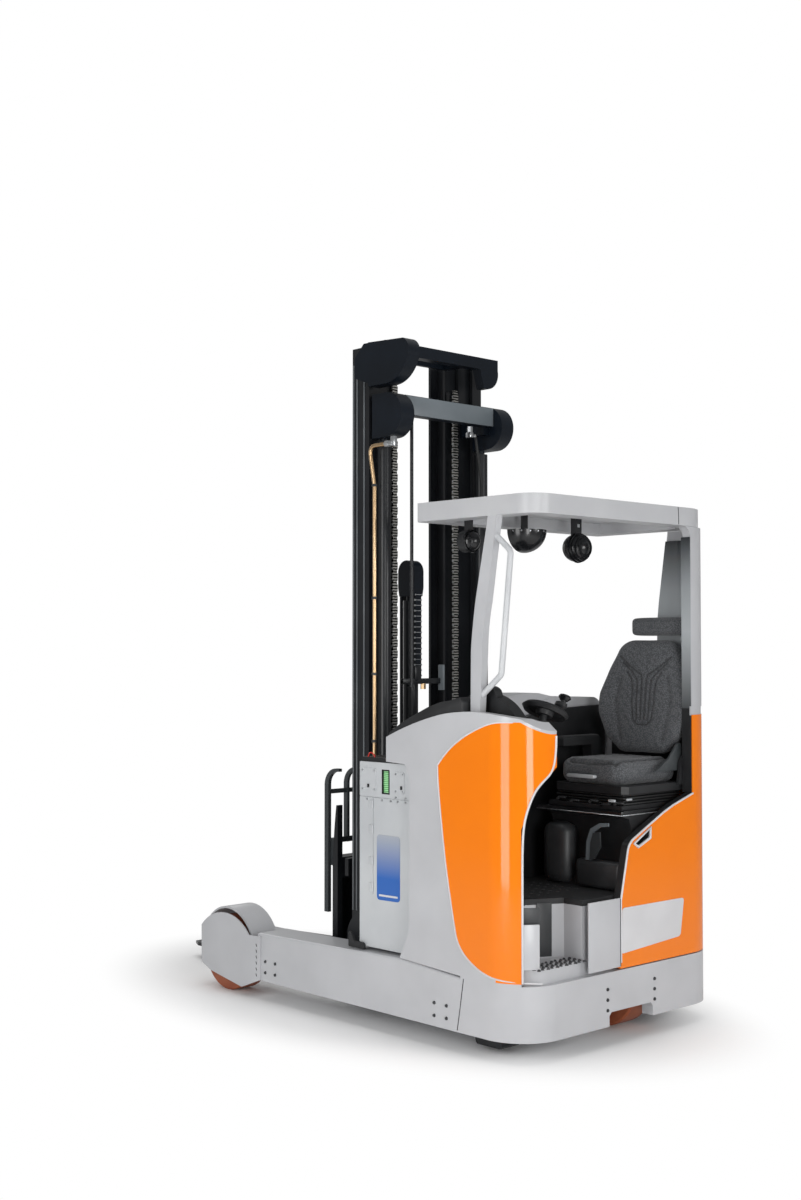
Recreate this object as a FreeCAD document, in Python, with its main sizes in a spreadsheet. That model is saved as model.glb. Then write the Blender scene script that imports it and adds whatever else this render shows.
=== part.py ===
"""A sit-on reach truck with a three-stage mast, as a parametric assembly of separate pieces.

Frame: millimetres, +X towards the fork tips, +Y to the truck's left, +Z up. The origin is on the floor,
under the middle of the truck's overall length. Stations along X are given from the chassis's rear face,
and every piece is placed at that datum.
"""
import FreeCAD, Part
import math
import os
import Sketcher

doc = FreeCAD.newDocument("ReachTruck")
V = FreeCAD.Vector

# ------------------------------------------------------------------ driving dimensions
DIMENSIONS = {
    # overall
    "datum_x": -1317.5,         # chassis rear face, from the origin
    "half_width": 635,          # outside of the reach legs
    "corner_radius": 188,       # rear corners in plan
    # chassis band, battery tray and reach legs
    "band_low": 84,
    "band_top": 300,
    "leg_rear": 338,            # where the leg is bolted to the chassis
    "leg_width": 165,
    "leg_low": 90,
    "leg_front": 1640,
    "leg_crown": 325,           # top of the leg at its highest
    "leg_nose": 302,            # top of the leg by the load wheel
    "tray_rear": 600,
    "tray_floor": 160,
    "chassis_front": 1000,
    # load wheels
    "load_x": 1905,
    "load_y": 553,
    "load_radius": 175,
    "load_width": 116,
    "axle_radius": 20,
    "cover_thick": 8,
    "fender_radius": 215,
    # drive unit
    "drive_x": 262,
    "drive_y": -200,
    "drive_radius": 180,
    "drive_width": 130,
    "well_radius": 210,
    "plate_low": 388,           # underside of the drive unit's mounting plate
    # cabin
    "floor_top": 598,
    "step_tread": 361,
    "wall": 42,                 # side cover thickness
    "cover_front": 773,
    "panel_inner": 54,          # the rear panel's edge beside the step, from the centreline
    "panel_thick": 30,
    "bulkhead": 622,            # the driver's side of the front bulkhead
    "seat_x": 262,
    "seat_front": -52,
    "seat_base": 1028,
    "wheel_x": 190,             # steering wheel centre
    "wheel_y": 295,
    "wheel_z": 1345,
    "wheel_tilt": 25,
    "wheel_radius": 95,
    # overhead guard
    "guard_top": 2206,
    "guard_thick": 78,
    "guard_rear": -20,
    "guard_front": 643,
    "guard_half": 590,
    # battery
    "battery_rear": 654,
    "battery_front": 989,
    "battery_low": 335,
    "battery_top": 1119,
    "battery_half": 590,
    # mast
    "mast_rear": 1182,          # rear flange of the outer uprights
    "mast_half": 365,
    "mast_foot": 121,           # the mast stands on the carriage's floor
    "mast_low": 95,
    "mast_top": 2900,
    "mast_depth": 113,
    "step_x": 24,               # each stage stands this far ahead of the one outside it
    "step_y": 60,               # and this far inside it
    "flange": 16,
    "beam_wall": 14,
    "cylinder_x": 1136,
    "cylinder_y": 315,
    "cylinder_radius": 32,
    "rod_radius": 18,
    "chain_x": 1188,            # rear face of the lift chains
    "chain_y": 198,
    "chain_width": 32,
    "chain_thick": 12,
    "chain_step": 50.8,
    "yoke_z": 2651,             # lift pulleys' axis
    "yoke_radius": 100,
    "ram_x": 1295,              # free-lift cylinder
    "ram_radius": 36,
    "ram_top": 1830,
    # fork carriage and forks
    "tilt_x": 1403,             # pin that the fork frame tilts on
    "tilt_z": 600,
    "pin_radius": 9,
    "fork_face": 1500,
    "fork_length": 1155,
    "fork_thick": 40,
    "fork_width": 100,
    "fork_y": 235,
    "fork_low": 66,
    "guard_low": 386,           # lower end of the load guard's outer bars
    "guard_high": 1050,
}

sheet = doc.addObject("Spreadsheet::Sheet", "Dims")
for row, (alias, value) in enumerate(DIMENSIONS.items(), start=1):
    sheet.set(f"A{row}", alias)
    sheet.set(f"B{row}", str(value))
    sheet.setAlias(f"B{row}", alias)
doc.recompute()


class Size:
    """A driving dimension, or a sum or product of them: its number and its spreadsheet formula."""

    def __init__(self, value, formula):
        self.value = float(value)
        self.formula = formula

    @staticmethod
    def of(other):
        if isinstance(other, Size):
            return other
        return Size(other, f"({float(other):.6f})")

    def combine(self, sign, left, right):
        left, right = Size.of(left), Size.of(right)
        values = {"+": left.value + right.value, "-": left.value - right.value, "*": left.value * right.value}
        value = values[sign] if sign in values else left.value / right.value
        return Size(value, f"({left.formula} {sign} {right.formula})")

    def __add__(self, other):
        return self.combine("+", self, other)

    def __radd__(self, other):
        return self.combine("+", other, self)

    def __sub__(self, other):
        return self.combine("-", self, other)

    def __rsub__(self, other):
        return self.combine("-", other, self)

    def __mul__(self, other):
        return self.combine("*", self, other)

    def __rmul__(self, other):
        return self.combine("*", other, self)

    def __truediv__(self, other):
        return self.combine("/", self, other)

    def __neg__(self):
        return self.combine("*", self, -1.0)

    def __float__(self):
        return self.value


class Dims:
    """The sheet's cells as Size values: dims.leg_width and so on."""


dims = Dims()
for alias in DIMENSIONS:
    setattr(dims, alias, Size(sheet.get(alias), f"Dims.{alias}"))


# ------------------------------------------------------------------ modelling helpers
PLANES = {"x": "YZ_Plane", "y": "XZ_Plane", "z": "XY_Plane"}
nodes = []


def bind(obj, prop, size):
    """Ties a property to the sheet, or sets it when it is a plain number."""
    if isinstance(size, Size):
        obj.setExpression(prop, size.formula)
    else:
        setattr(obj, prop, float(size))


def piece(label):
    """A new body, placed at the chassis datum, that will be written as one node."""
    body = doc.addObject("PartDesign::Body", label)
    body.Label = label
    body.setExpression("Placement.Base.x", dims.datum_x.formula)
    nodes.append(body)
    return body


def plane_of(body, axis):
    role = PLANES[axis]
    return [feature for feature in body.Origin.OriginFeatures if feature.Role == role][0]


class Circle:
    """A round loop: centre and radius."""

    def __init__(self, a, b, radius):
        self.a, self.b, self.radius = a, b, radius


class Through:
    """In an outline, the point that the arc between its two neighbours passes through."""

    def __init__(self, a, b):
        self.a, self.b = a, b


def fix_point(sketch, index, position, a, b):
    """Holds a point of the sketch at a, b from the sketch's origin, each tied to the sheet."""
    for kind, size in (("DistanceX", a), ("DistanceY", b)):
        size = Size.of(size)
        where = sketch.addConstraint(Sketcher.Constraint(kind, -1, 1, index, position, size.value))
        if "Dims" in size.formula:
            sketch.setExpression(f"Constraints[{where}]", size.formula)


def add_circle(sketch, loop):
    centre = V(float(loop.a), float(loop.b), 0)
    index = sketch.addGeometry(Part.Circle(centre, V(0, 0, 1), float(loop.radius)), False)
    where = sketch.addConstraint(Sketcher.Constraint("Radius", index, float(loop.radius)))
    if isinstance(loop.radius, Size):
        sketch.setExpression(f"Constraints[{where}]", loop.radius.formula)
    fix_point(sketch, index, 3, loop.a, loop.b)


def add_outline(sketch, points):
    """A closed outline of straight edges, and of arcs where a Through point stands between two corners."""
    corners = [i for i, point in enumerate(points) if not isinstance(point, Through)]
    first = len(sketch.Geometry)
    ends = []
    for k, i in enumerate(corners):
        j = corners[(k + 1) % len(corners)]
        start = V(float(points[i][0]), float(points[i][1]), 0)
        end = V(float(points[j][0]), float(points[j][1]), 0)
        middle = points[(i + 1) % len(points)]
        if isinstance(middle, Through):
            arc = Part.Arc(start, V(float(middle.a), float(middle.b), 0), end)
            index = sketch.addGeometry(arc, False)
            ends.append((1, 2) if arc_runs_forward(start, middle, end) else (2, 1))
            hold_centre(sketch, index, start, end)
        else:
            sketch.addGeometry(Part.LineSegment(start, end), False)
            ends.append((1, 2))
    count = len(corners)
    for k in range(count):
        following = (k + 1) % count
        sketch.addConstraint(Sketcher.Constraint("Coincident", first + k, ends[k][1], first + following,
                                                 ends[following][0]))
    for k, i in enumerate(corners):
        fix_point(sketch, first + k, ends[k][0], points[i][0], points[i][1])


def hold_centre(sketch, index, start, end):
    """Holds an arc whose ends are fixed, by the coordinate in which its centre could still slide."""
    centre = sketch.Geometry[index].Center
    if abs(end.y - start.y) > abs(end.x - start.x):
        kind, size = "DistanceX", centre.x
    else:
        kind, size = "DistanceY", centre.y
    sketch.addConstraint(Sketcher.Constraint(kind, -1, 1, index, 3, size))


def arc_runs_forward(start, middle, end):
    """True when the arc turns anticlockwise from start to end, as a sketch stores it."""
    ax, ay = float(middle.a) - start.x, float(middle.b) - start.y
    bx, by = end.x - start.x, end.y - start.y
    return ax * by - ay * bx > 0


def sketch_on(body, axis, offset, loops):
    """A sketch square to an axis, offset along the sketch's own normal, holding one or more closed loops."""
    sketch = body.newObject("Sketcher::SketchObject", f"{body.Label}_sketch")
    sketch.AttachmentSupport = [(plane_of(body, axis), "")]
    sketch.MapMode = "FlatFace"
    if isinstance(offset, Size):
        sketch.setExpression("AttachmentOffset.Base.z", offset.formula)
    else:
        sketch.AttachmentOffset = FreeCAD.Placement(V(0, 0, float(offset)), FreeCAD.Rotation())
    if isinstance(loops, Circle) or not isinstance(loops[0], (list, Circle)):
        loops = [loops]
    for loop in loops:
        if isinstance(loop, Circle):
            add_circle(sketch, loop)
        else:
            add_outline(sketch, loop)
    return sketch


def extrude(body, axis, loops, low, high, taper=0):
    """Adds material between two places along an axis. Loops are in (x, y), (x, z) or (y, z)."""
    offset = -Size.of(high) if axis == "y" else low
    pad = body.newObject("PartDesign::Pad", f"{body.Label}_pad")
    pad.Profile = sketch_on(body, axis, offset, loops)
    bind(pad, "Length", Size.of(high) - low)
    pad.TaperAngle = taper
    body.Tip = pad
    return pad


def cut(body, axis, loops, low, high):
    """Takes material away between two places along an axis."""
    offset = -Size.of(low) if axis == "y" else high
    pocket = body.newObject("PartDesign::Pocket", f"{body.Label}_pocket")
    pocket.Profile = sketch_on(body, axis, offset, loops)
    bind(pocket, "Length", Size.of(high) - low)
    body.Tip = pocket
    return pocket


def box(a, b, c, d):
    """A rectangle from (a, b) to (c, d)."""
    return [(a, b), (c, b), (c, d), (a, d)]


def block(body, x, y, z):
    """A plain box between pairs of stations."""
    return extrude(body, "z", box(x[0], y[0], x[1], y[1]), z[0], z[1])


def revolve(body, axis, centre, profile):
    """Turns a profile about a line parallel to an axis. The profile is (distance along the axis, radius)."""
    plane, placed = {
        "y": ("z", lambda along, radius: (centre[0] + radius, along)),
        "z": ("y", lambda along, radius: (centre[0] + radius, along)),
    }[axis]
    offset = centre[1] if axis == "y" else -Size.of(centre[1])
    outline = [placed(along, radius) for along, radius in profile]
    sketch = sketch_on(body, plane, offset, outline)
    line = sketch.addGeometry(
        Part.LineSegment(V(float(centre[0]), 0, 0), V(float(centre[0]), 100, 0)), True)
    fix_point(sketch, line, 1, centre[0], 0)
    fix_point(sketch, line, 2, centre[0], 100)
    turn = body.newObject("PartDesign::Revolution", f"{body.Label}_revolution")
    turn.Profile = sketch
    turn.ReferenceAxis = (sketch, ["Axis0"])
    turn.Angle = 360
    body.Tip = turn
    return turn


def round_edges(body, radius, chosen):
    """Fillets the edges of the body's last feature that the test picks."""
    doc.recompute()
    base = body.Tip
    names = [f"Edge{i + 1}" for i, edge in enumerate(base.Shape.Edges) if chosen(edge)]
    fillet = body.newObject("PartDesign::Fillet", f"{body.Label}_fillet")
    fillet.Base = (base, names)
    bind(fillet, "Radius", radius)
    body.Tip = fillet
    return fillet


def runs_along(edge, axis):
    """True for a straight edge parallel to an axis."""
    if not isinstance(edge.Curve, Part.Line):
        return False
    direction = edge.Curve.Direction
    return abs(getattr(direction, axis)) > 0.999


def both_sides(near, far):
    """The pair of stations on the left, and the same pair mirrored to the right."""
    return ((near, far), (-Size.of(far), -Size.of(near)))


def mirrored(label, source):
    """The other side's piece: the source mirrored in the truck's centre plane."""
    other = doc.addObject("Part::Mirroring", label)
    other.Label = label
    other.Source = source
    other.Base = V(0, 0, 0)
    other.Normal = V(0, 1, 0)
    nodes.append(other)
    return other


def bent_path(points, bend):
    """Straight runs through the points, joined by tangent arcs of the bend radius."""
    corners = [V(*(float(c) for c in point)) for point in points]
    edges = []
    start = corners[0]
    for before, corner, after in zip(corners, corners[1:], corners[2:]):
        back = (before - corner).normalize()
        ahead = (after - corner).normalize()
        half = back.getAngle(ahead) / 2
        reach = bend / math.tan(half)
        middle = (back + ahead).normalize() * (bend / math.sin(half) - bend)
        first, last = corner + back * reach, corner + ahead * reach
        edges.append(Part.LineSegment(start, first).toShape())
        edges.append(Part.Arc(first, corner + middle, last).toShape())
        start = last
    edges.append(Part.LineSegment(start, corners[-1]).toShape())
    return Part.Wire(edges)


def swept(points, bend, section):
    """The solid swept by a section wire along a bent path. The section is drawn square to +Z at the origin."""
    path = bent_path(points, bend)
    start, ahead = V(*(float(c) for c in points[0])), V(*(float(c) for c in points[1]))
    wire = section.copy()
    wire.Placement = FreeCAD.Placement(start, FreeCAD.Rotation(V(0, 0, 1), ahead - start))
    return path.makePipeShell([wire], True, False)


def round_section(radius):
    return Part.Wire(Part.makeCircle(float(radius)))


def shaped(label, shape):
    """A node whose solid is worked out directly, for bent bars that follow a path in space."""
    feature = doc.addObject("Part::Feature", label)
    feature.Label = label
    feature.Shape = shape
    feature.setExpression("Placement.Base.x", dims.datum_x.formula)
    nodes.append(feature)
    return feature


# ------------------------------------------------------------------ chassis and reach legs
def make_chassis():
    body = piece("chassis_frame")
    inner = dims.half_width - dims.leg_width
    outline = [
        (0, -dims.half_width), (dims.leg_rear, -dims.half_width), (dims.leg_rear, -inner),
        (dims.tray_rear, -inner), (dims.tray_rear, inner), (dims.leg_rear, inner),
        (dims.leg_rear, dims.half_width), (0, dims.half_width),
    ]
    extrude(body, "z", outline, dims.band_low, dims.band_top)
    round_edges(body, dims.corner_radius,
                lambda edge: runs_along(edge, "z") and abs(edge.Vertexes[0].X) < 1)
    cut(body, "z", Circle(dims.drive_x, dims.drive_y, dims.well_radius), dims.band_low - 10, dims.band_top + 10)
    arch = [(-157, 60), (125, 60), (125, 126), (111, 140), (-143, 140), (-157, 126)]
    cut(body, "x", arch, -10, 140)
    cut(body, "z", box(320, 80, dims.tray_rear + 10, 160), dims.tray_floor, dims.band_top + 10)


def make_tray():
    body = piece("battery_tray")
    inner = dims.half_width - dims.leg_width
    side = inner - 30
    low, floor, top = dims.band_low, dims.tray_floor, dims.band_top
    trough = [
        (-inner, low), (inner, low), (inner, top), (side, top), (side, floor + 30), (side - 30, floor),
        (-side + 30, floor), (-side, floor + 30), (-side, top), (-inner, top),
    ]
    extrude(body, "x", trough, dims.tray_rear, dims.chassis_front)


def make_leg():
    body = piece("reach_leg_left")
    outer = dims.half_width
    inner = outer - dims.leg_width
    beam = [
        (dims.leg_rear, dims.band_low), (dims.leg_front, dims.leg_low), (dims.leg_front, dims.leg_nose),
        (dims.leg_rear + 336, dims.leg_crown), (dims.leg_rear, dims.band_top),
    ]
    extrude(body, "y", beam, inner, outer)
    round_edges(body, 10, lambda edge: edge.BoundBox.YMin > float(outer) - 1
                and edge.BoundBox.ZMin > 295 and edge.BoundBox.XLength > 100)
    top = dims.load_radius + 115
    cheek = [
        (dims.leg_front - 40, 150), (dims.load_x - 60, dims.leg_low), (dims.load_x + 90, dims.leg_low),
        (dims.load_x + 150, 120), (dims.load_x + 150, top), (dims.leg_front - 40, top),
    ]
    extrude(body, "y", cheek, inner, inner + 16)
    channel = [
        (inner, 145), (inner, 285), (inner - 55, 285), (inner - 55, 267),
        (inner - 16, 267), (inner - 16, 163), (inner - 55, 163), (inner - 55, 145),
    ]
    extrude(body, "x", channel, dims.chassis_front + 5, dims.load_x + 95)
    crown = dims.fender_radius
    fender = [
        (dims.load_x - crown, dims.load_radius), Through(dims.load_x, dims.load_radius + crown),
        (dims.load_x + 170, 280), (dims.load_x + 162, 280), Through(dims.load_x, dims.load_radius + crown - 10),
        (dims.load_x - crown + 10, dims.load_radius),
    ]
    extrude(body, "y", fender, inner, outer - 20)
    return body


def make_wheel_covers():
    body = piece("wheel_cover_left")
    outer = dims.half_width
    plate = [
        (1614, 289), (1614, 93), (1753, 41), (1994, 82), (2067, 111), (2069, 287),
        Through(dims.load_x, 364), (1704, 285),
    ]
    extrude(body, "y", plate, outer, outer + dims.cover_thick)
    mirrored("wheel_cover_right", body)


def make_load_axles():
    body = piece("load_axle_left")
    inner = dims.half_width - dims.leg_width
    extrude(body, "y", Circle(dims.load_x, dims.load_radius, dims.axle_radius), inner + 16, dims.half_width)
    mirrored("load_axle_right", body)


def make_load_wheel():
    body = piece("load_wheel_left")
    low = dims.load_y - dims.load_width / 2
    high = dims.load_y + dims.load_width / 2
    bore = dims.axle_radius + 0.05
    rim = dims.load_radius
    profile = [(low, bore), (low, rim - 6), (low + 6, rim), (high - 6, rim), (high, rim - 6), (high, bore)]
    revolve(body, "y", (dims.load_x, 0), profile)
    body.setExpression("Placement.Base.z", dims.load_radius.formula)
    mirrored("load_wheel_right", body)


def make_skid():
    body = piece("support_skid")
    extrude(body, "y", [(200, dims.band_low), (215, 30), (223, 22), (347, 22), (355, 30), (370, dims.band_low)],
            420, 530)


# ------------------------------------------------------------------ drive unit
def make_drive():
    x, y = dims.drive_x, dims.drive_y
    shelf = dims.plate_low
    plate = piece("drive_plate")
    extrude(plate, "z", [Circle(x, y, dims.well_radius + 14), Circle(x, y, dims.well_radius)], dims.band_top, shelf)
    extrude(plate, "z", Circle(x, y, dims.well_radius + 14), shelf, shelf + 14)
    motor = piece("drive_motor")
    extrude(motor, "z", Circle(x, y, 105), shelf + 14, shelf + 150)
    extrude(motor, "z", Circle(x, y, 80), shelf + 150, shelf + 178)
    fork = piece("drive_fork")
    low = y - dims.drive_width / 2
    high = y + dims.drive_width / 2
    extrude(fork, "z", Circle(x, y, 120), shelf - 16, shelf - 0.4)
    gearbox = [
        (x - 60, shelf - 16), (x - 60, dims.drive_radius - 20), Through(x, dims.drive_radius - 70),
        (x + 60, dims.drive_radius - 20), (x + 60, shelf - 16),
    ]
    extrude(fork, "y", gearbox, high + 6, high + 36)
    hub = 24
    extrude(fork, "y", Circle(x, dims.drive_radius, hub), low + 20, high + 10)
    wheel = piece("drive_wheel")
    bore = hub + 0.05
    rim = dims.drive_radius
    profile = [(low, bore), (low, rim - 8), (low + 8, rim), (high - 8, rim), (high, rim - 8), (high, bore)]
    revolve(wheel, "y", (x, 0), profile)
    wheel.setExpression("Placement.Base.z", dims.drive_radius.formula)


# ------------------------------------------------------------------ cabin
def rounded_wall(body, low, high, thick, right, front, inner):
    """A wall that follows the truck's side and rear corner, from a station on the side to one on the rear."""
    side = -1 if right else 1
    corner = dims.corner_radius
    slant = math.sqrt(0.5)
    outer = dims.half_width
    inside = corner - thick
    outline = [
        (front, side * outer), (corner, side * outer),
        Through(corner - corner * slant, side * (outer - corner + corner * slant)),
        (0, side * (outer - corner)), (0, side * Size.of(inner)), (thick, side * Size.of(inner)),
        (thick, side * (outer - corner)),
        Through(corner - inside * slant, side * (outer - corner + inside * slant)),
        (corner, side * (outer - thick)), (front, side * (outer - thick)),
    ]
    extrude(body, "z", outline, low, high)


def field_outline(low, rear_end):
    """The painted field on a side wall, seen square to it, from its foot to where it reaches the rear."""
    return [
        (-50, low), (150, low), (150, 322), Through(250, 350), (356, 436), (384, 562), (423, 757), (460, 1034),
        (466, 1132), Through(365, 1226), (228, 1293), (160, 1314),
    ] + rear_end


def split_wall(wall, field, outside, inside):
    """Divides a wall into the panel outside the field and the panel inside it."""
    for kind, label in (("Part::Cut", outside), ("Part::Common", inside)):
        part = doc.addObject(kind, label)
        part.Label = label
        part.Base, part.Tool = wall, field
        nodes.append(part)
    nodes.remove(wall)
    nodes.remove(field)


def trim_front(wall, side):
    """The front edge that leans back over the battery, and the sill that clears the leg."""
    outer, inside = both_sides(dims.half_width - 75, dims.half_width + 65)[0 if side > 0 else 1]
    edge = [
        (688, 250), (688, 332), (632, 450), (632, 990), Through(638, 1085), (660, 1125), (773, 1130), (900, 1130),
        (900, 250),
    ]
    cut(wall, "y", edge, outer, inside)
    sill = [(dims.leg_rear, 250), (dims.leg_rear, dims.band_top + 7), (dims.leg_rear + 336, dims.leg_crown + 2),
            (900, dims.leg_crown + 2), (900, 250)]
    cut(wall, "y", sill, outer, inside)


def make_left_side():
    wall = piece("left_wall")
    rounded_wall(wall, dims.band_top, 1352, dims.wall, False, dims.cover_front, 440)
    trim_front(wall, 1)
    crown = [
        (900, 1150), (773, 1150), (773, 1233), Through(619, 1291), (451, 1336), Through(280, 1352), (60, 1328),
        (0, 1280), (-50, 1260), (-50, 1500), (900, 1500),
    ]
    cut(wall, "y", crown, 400, 700)
    entry = [(583, 250), (583, 903), (540, 1057), (445, 1138), (300, 1138), (300, 250)]
    cut(wall, "x", entry, -50, 150)
    field = piece("left_field")
    extrude(field, "y", field_outline(310, [(60, 1316), (0, 1268), (-50, 1248)]), 400, 700)
    split_wall(wall, field, "side_cover_left", "side_panel_left")


def make_right_side():
    wall = piece("right_wall")
    rounded_wall(wall, dims.band_top + 5, 1352, dims.panel_thick, True, dims.cover_front, -dims.panel_inner)
    trim_front(wall, -1)
    crown = [
        (900, 1150), (773, 1150), (773, 1233), Through(619, 1291), (451, 1336), (280, 1352), (160, 1318),
        (-50, 1318), (-50, 1500), (900, 1500),
    ]
    cut(wall, "y", crown, -700, -300)
    top = [
        (80, 560), (54, 580), (5, 782), Through(-4, 801), (-22, 817), (-159, 882), Through(-300, 942), (-439, 983),
        (-439, 1400), (80, 1400),
    ]
    cut(wall, "x", top, -50, 100)
    hand_hole = [(-36, 803), (-144, 860), (-141, 817), (-63, 787)]
    cut(wall, "x", hand_hole, -50, 100)
    field = piece("right_field")
    extrude(field, "y", field_outline(250, [(-50, 1500)]), -700, 100)
    split_wall(wall, field, "side_cover_right", "rear_panel")


def floor_corner(inset):
    """The compartment's rear left corner in plan, as an arc that stands clear inside the side cover."""
    radius = dims.corner_radius - inset
    centre = (dims.corner_radius, dims.half_width - dims.corner_radius)
    ends = []
    for angle in (0, 30, 60):
        turn = math.radians(angle)
        ends.append((centre[0] - radius * math.cos(turn), centre[1] + radius * math.sin(turn)))
    return [ends[2], Through(*ends[1]), ends[0]]


def make_floor():
    """The foot well: a step let into the rear left corner, with a back wall that is folded to a V."""
    recess = [(-10, 251), (130, 251), (205, 400), (130, 560), (-10, 560)]
    step = piece("step_box")
    extrude(step, "z", [(232, 64), (232, 578)] + floor_corner(35) + [(35, 64)], dims.band_top, 575)
    cut(step, "z", recess, dims.step_tread, 600)
    cut(step, "x", box(82, 200, 235, 556), 45, 400)
    mat = piece("floor_mat")
    right = [(33, -447), (79, -555), (dims.corner_radius, -602)]
    extrude(mat, "z", [(620, 583), (180, 583)] + floor_corner(35) + right + [(620, -602)], 575, dims.floor_top)
    cut(mat, "z", recess, 500, 700)


def make_seat_base():
    low = dims.floor_top + 0.5
    body = piece("seat_box")
    side = [
        (-500, low), (-40, low), Through(-92, 740), (-70, 895), (-30, 905), (-30, 930), (-500, 930),
    ]
    extrude(body, "x", side, 52, 480)
    round_edges(body, 14, lambda edge: runs_along(edge, "x") and edge.BoundBox.YMin > -31)
    slab = piece("seat_suspension")
    front = dims.seat_front
    block(slab, (70, 470), (-470, front + 6), (930, 948))
    bellows = []
    for fold in range(4):
        bellows += [(front - 34, 948 + fold * 12), (front - 24, 954 + fold * 12)]
    bellows += [(front - 34, 996), (-440, 996), (-440, 948)]
    extrude(slab, "x", bellows, 96, 436)
    pan = [(56, -484), (452, -484), (452, front - 24), (430, front), (78, front), (56, front - 24)]
    extrude(slab, "z", pan, 996, dims.seat_base)
    hinge = [(-480, 1020), (-400, 1020), (-414, 1090), Through(-444, 1146), (-480, 1150)]
    extrude(slab, "x", hinge, 45, 57)


def make_seat():
    x = dims.seat_x
    base = dims.seat_base
    front = dims.seat_front
    cushion = piece("seat_cushion")
    side = [
        (-478, base), (front - 12, base), (front, base + 24), Through(front - 22, base + 92), (front - 80, base + 106),
        Through(-300, base + 88), (-440, base + 104), (-478, base + 104),
    ]
    extrude(cushion, "x", side, x - 200, x + 200)
    back = piece("seat_backrest")
    half = 205
    shield = [
        (x - 100, 1134), (x + 100, 1134), (x + 165, 1200), (x + half, 1330), Through(x + half - 8, 1410),
        (x + 128, 1622), (x + 100, 1654), (x - 100, 1654), (x - 128, 1622), Through(x - half + 8, 1410),
        (x - half, 1330), (x - 165, 1200),
    ]
    extrude(back, "y", shield, -580, -380)
    cut(back, "x", [(-300, 1100), (-418, 1100), Through(-444, 1350), (-498, 1700), (-300, 1700)], 0, 600)
    cut(back, "x", [(-700, 1100), (-470, 1100), (-500, 1360), (-566, 1700), (-700, 1700)], 0, 600)
    head = piece("headrest")
    pad = [(-496, 1656), (-560, 1656), (-568, 1676), (-564, 1744), (-508, 1744), Through(-494, 1706), (-500, 1662)]
    extrude(head, "x", pad[:1] + pad[1:-1] + [(-492, 1664)], x - 138, x + 122)
    arm = piece("armrest")
    block(arm, (x + 214, x + 262), (-400, -150), (1175, 1220))
    block(arm, (x + 214, x + 262), (-400, -340), (930.5, 1175))
    round_edges(arm, 16, lambda edge: edge.BoundBox.ZMin > 1219)


def make_consoles():
    dash = piece("dash_console")
    outline = [
        (74, 1142), (74, 1290), (110, 1315), Through(250, 1332), (400, 1320), (555, 1280), (555, 1142),
    ]
    extrude(dash, "y", outline, 448, dims.half_width - dims.wall - 60)
    hood = piece("dash_hood")
    low_shell = [(128, 1322), Through(240, 1410), (430, 1392), (466, 1312), Through(290, 1338)]
    extrude(hood, "y", low_shell, 470, 530)
    peak = [(230, 1380), (250, 1434), Through(276, 1450), (316, 1444), (402, 1396), (402, 1380)]
    extrude(hood, "y", peak, 486, 530)
    panel = piece("dash_panel")
    inside = [
        (-585, dims.floor_top + 0.5), (440, dims.floor_top + 0.5), (440, 1240), (100, 1262), (-150, 1330),
        (-585, 1345),
    ]
    extrude(panel, "x", inside, dims.bulkhead - 22, dims.bulkhead)
    lean = FreeCAD.Rotation(V(1, 0, 0), float(dims.wheel_tilt))
    column = piece("steering_column")
    extrude(column, "z", [(-30, -60), (30, -60), (34, 20), (34, 111), (-34, 111), (-34, 20)], -120, -78)
    extrude(column, "z", Circle(0, 0, 24), -78, -40)
    extrude(column, "z", Circle(0, 0, 15), -40, -2)
    wheel = piece("steering_wheel")
    hub = 15.05
    rim = dims.wheel_radius
    profile = [
        (-16, hub), (-16, 34), (2, 40), (2, rim - 24), (-8, rim - 8), (6, rim + 3), (18, rim - 8), (12, rim - 24),
        (12, hub),
    ]
    revolve(wheel, "z", (0, 0), profile)
    spinner = [(12, 0), (12, 17), (42, 12), (58, 27), (74, 25), (79, 0)]
    revolve(wheel, "z", (0, -dims.wheel_radius + 16), spinner)
    for tilted in (column, wheel):
        tilted.Placement = FreeCAD.Placement(V(0, 0, 0), lean)
        tilted.setExpression("Placement.Base.x", (dims.datum_x + dims.wheel_x).formula)
        tilted.setExpression("Placement.Base.y", dims.wheel_y.formula)
        tilted.setExpression("Placement.Base.z", dims.wheel_z.formula)


def make_hood():
    body = piece("front_hood")
    half = dims.battery_half
    block(body, (dims.bulkhead, dims.bulkhead + 28), (-half, half), (dims.floor_top, 1100))
    top = [
        (-half, 1100), (half, 1100), (half, 1222), (120, 1232), Through(-60, 1290), (-190, 1372), (-260, 1388),
        (-520, 1380), Through(-568, 1362), (-half, 1312),
    ]
    extrude(body, "x", top, dims.bulkhead, dims.cover_front)
    lean = [(dims.cover_front + 10, 1180), (dims.cover_front - 18, 1180), Through(750, 1300), (700, 1400),
            (700, 1500), (dims.cover_front + 10, 1500)]
    cut(body, "y", lean, -half - 10, half + 10)
    cut(body, "y", box(dims.bulkhead + 28, 1050, dims.cover_front + 10, 1142), -half - 10, half + 10)


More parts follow.
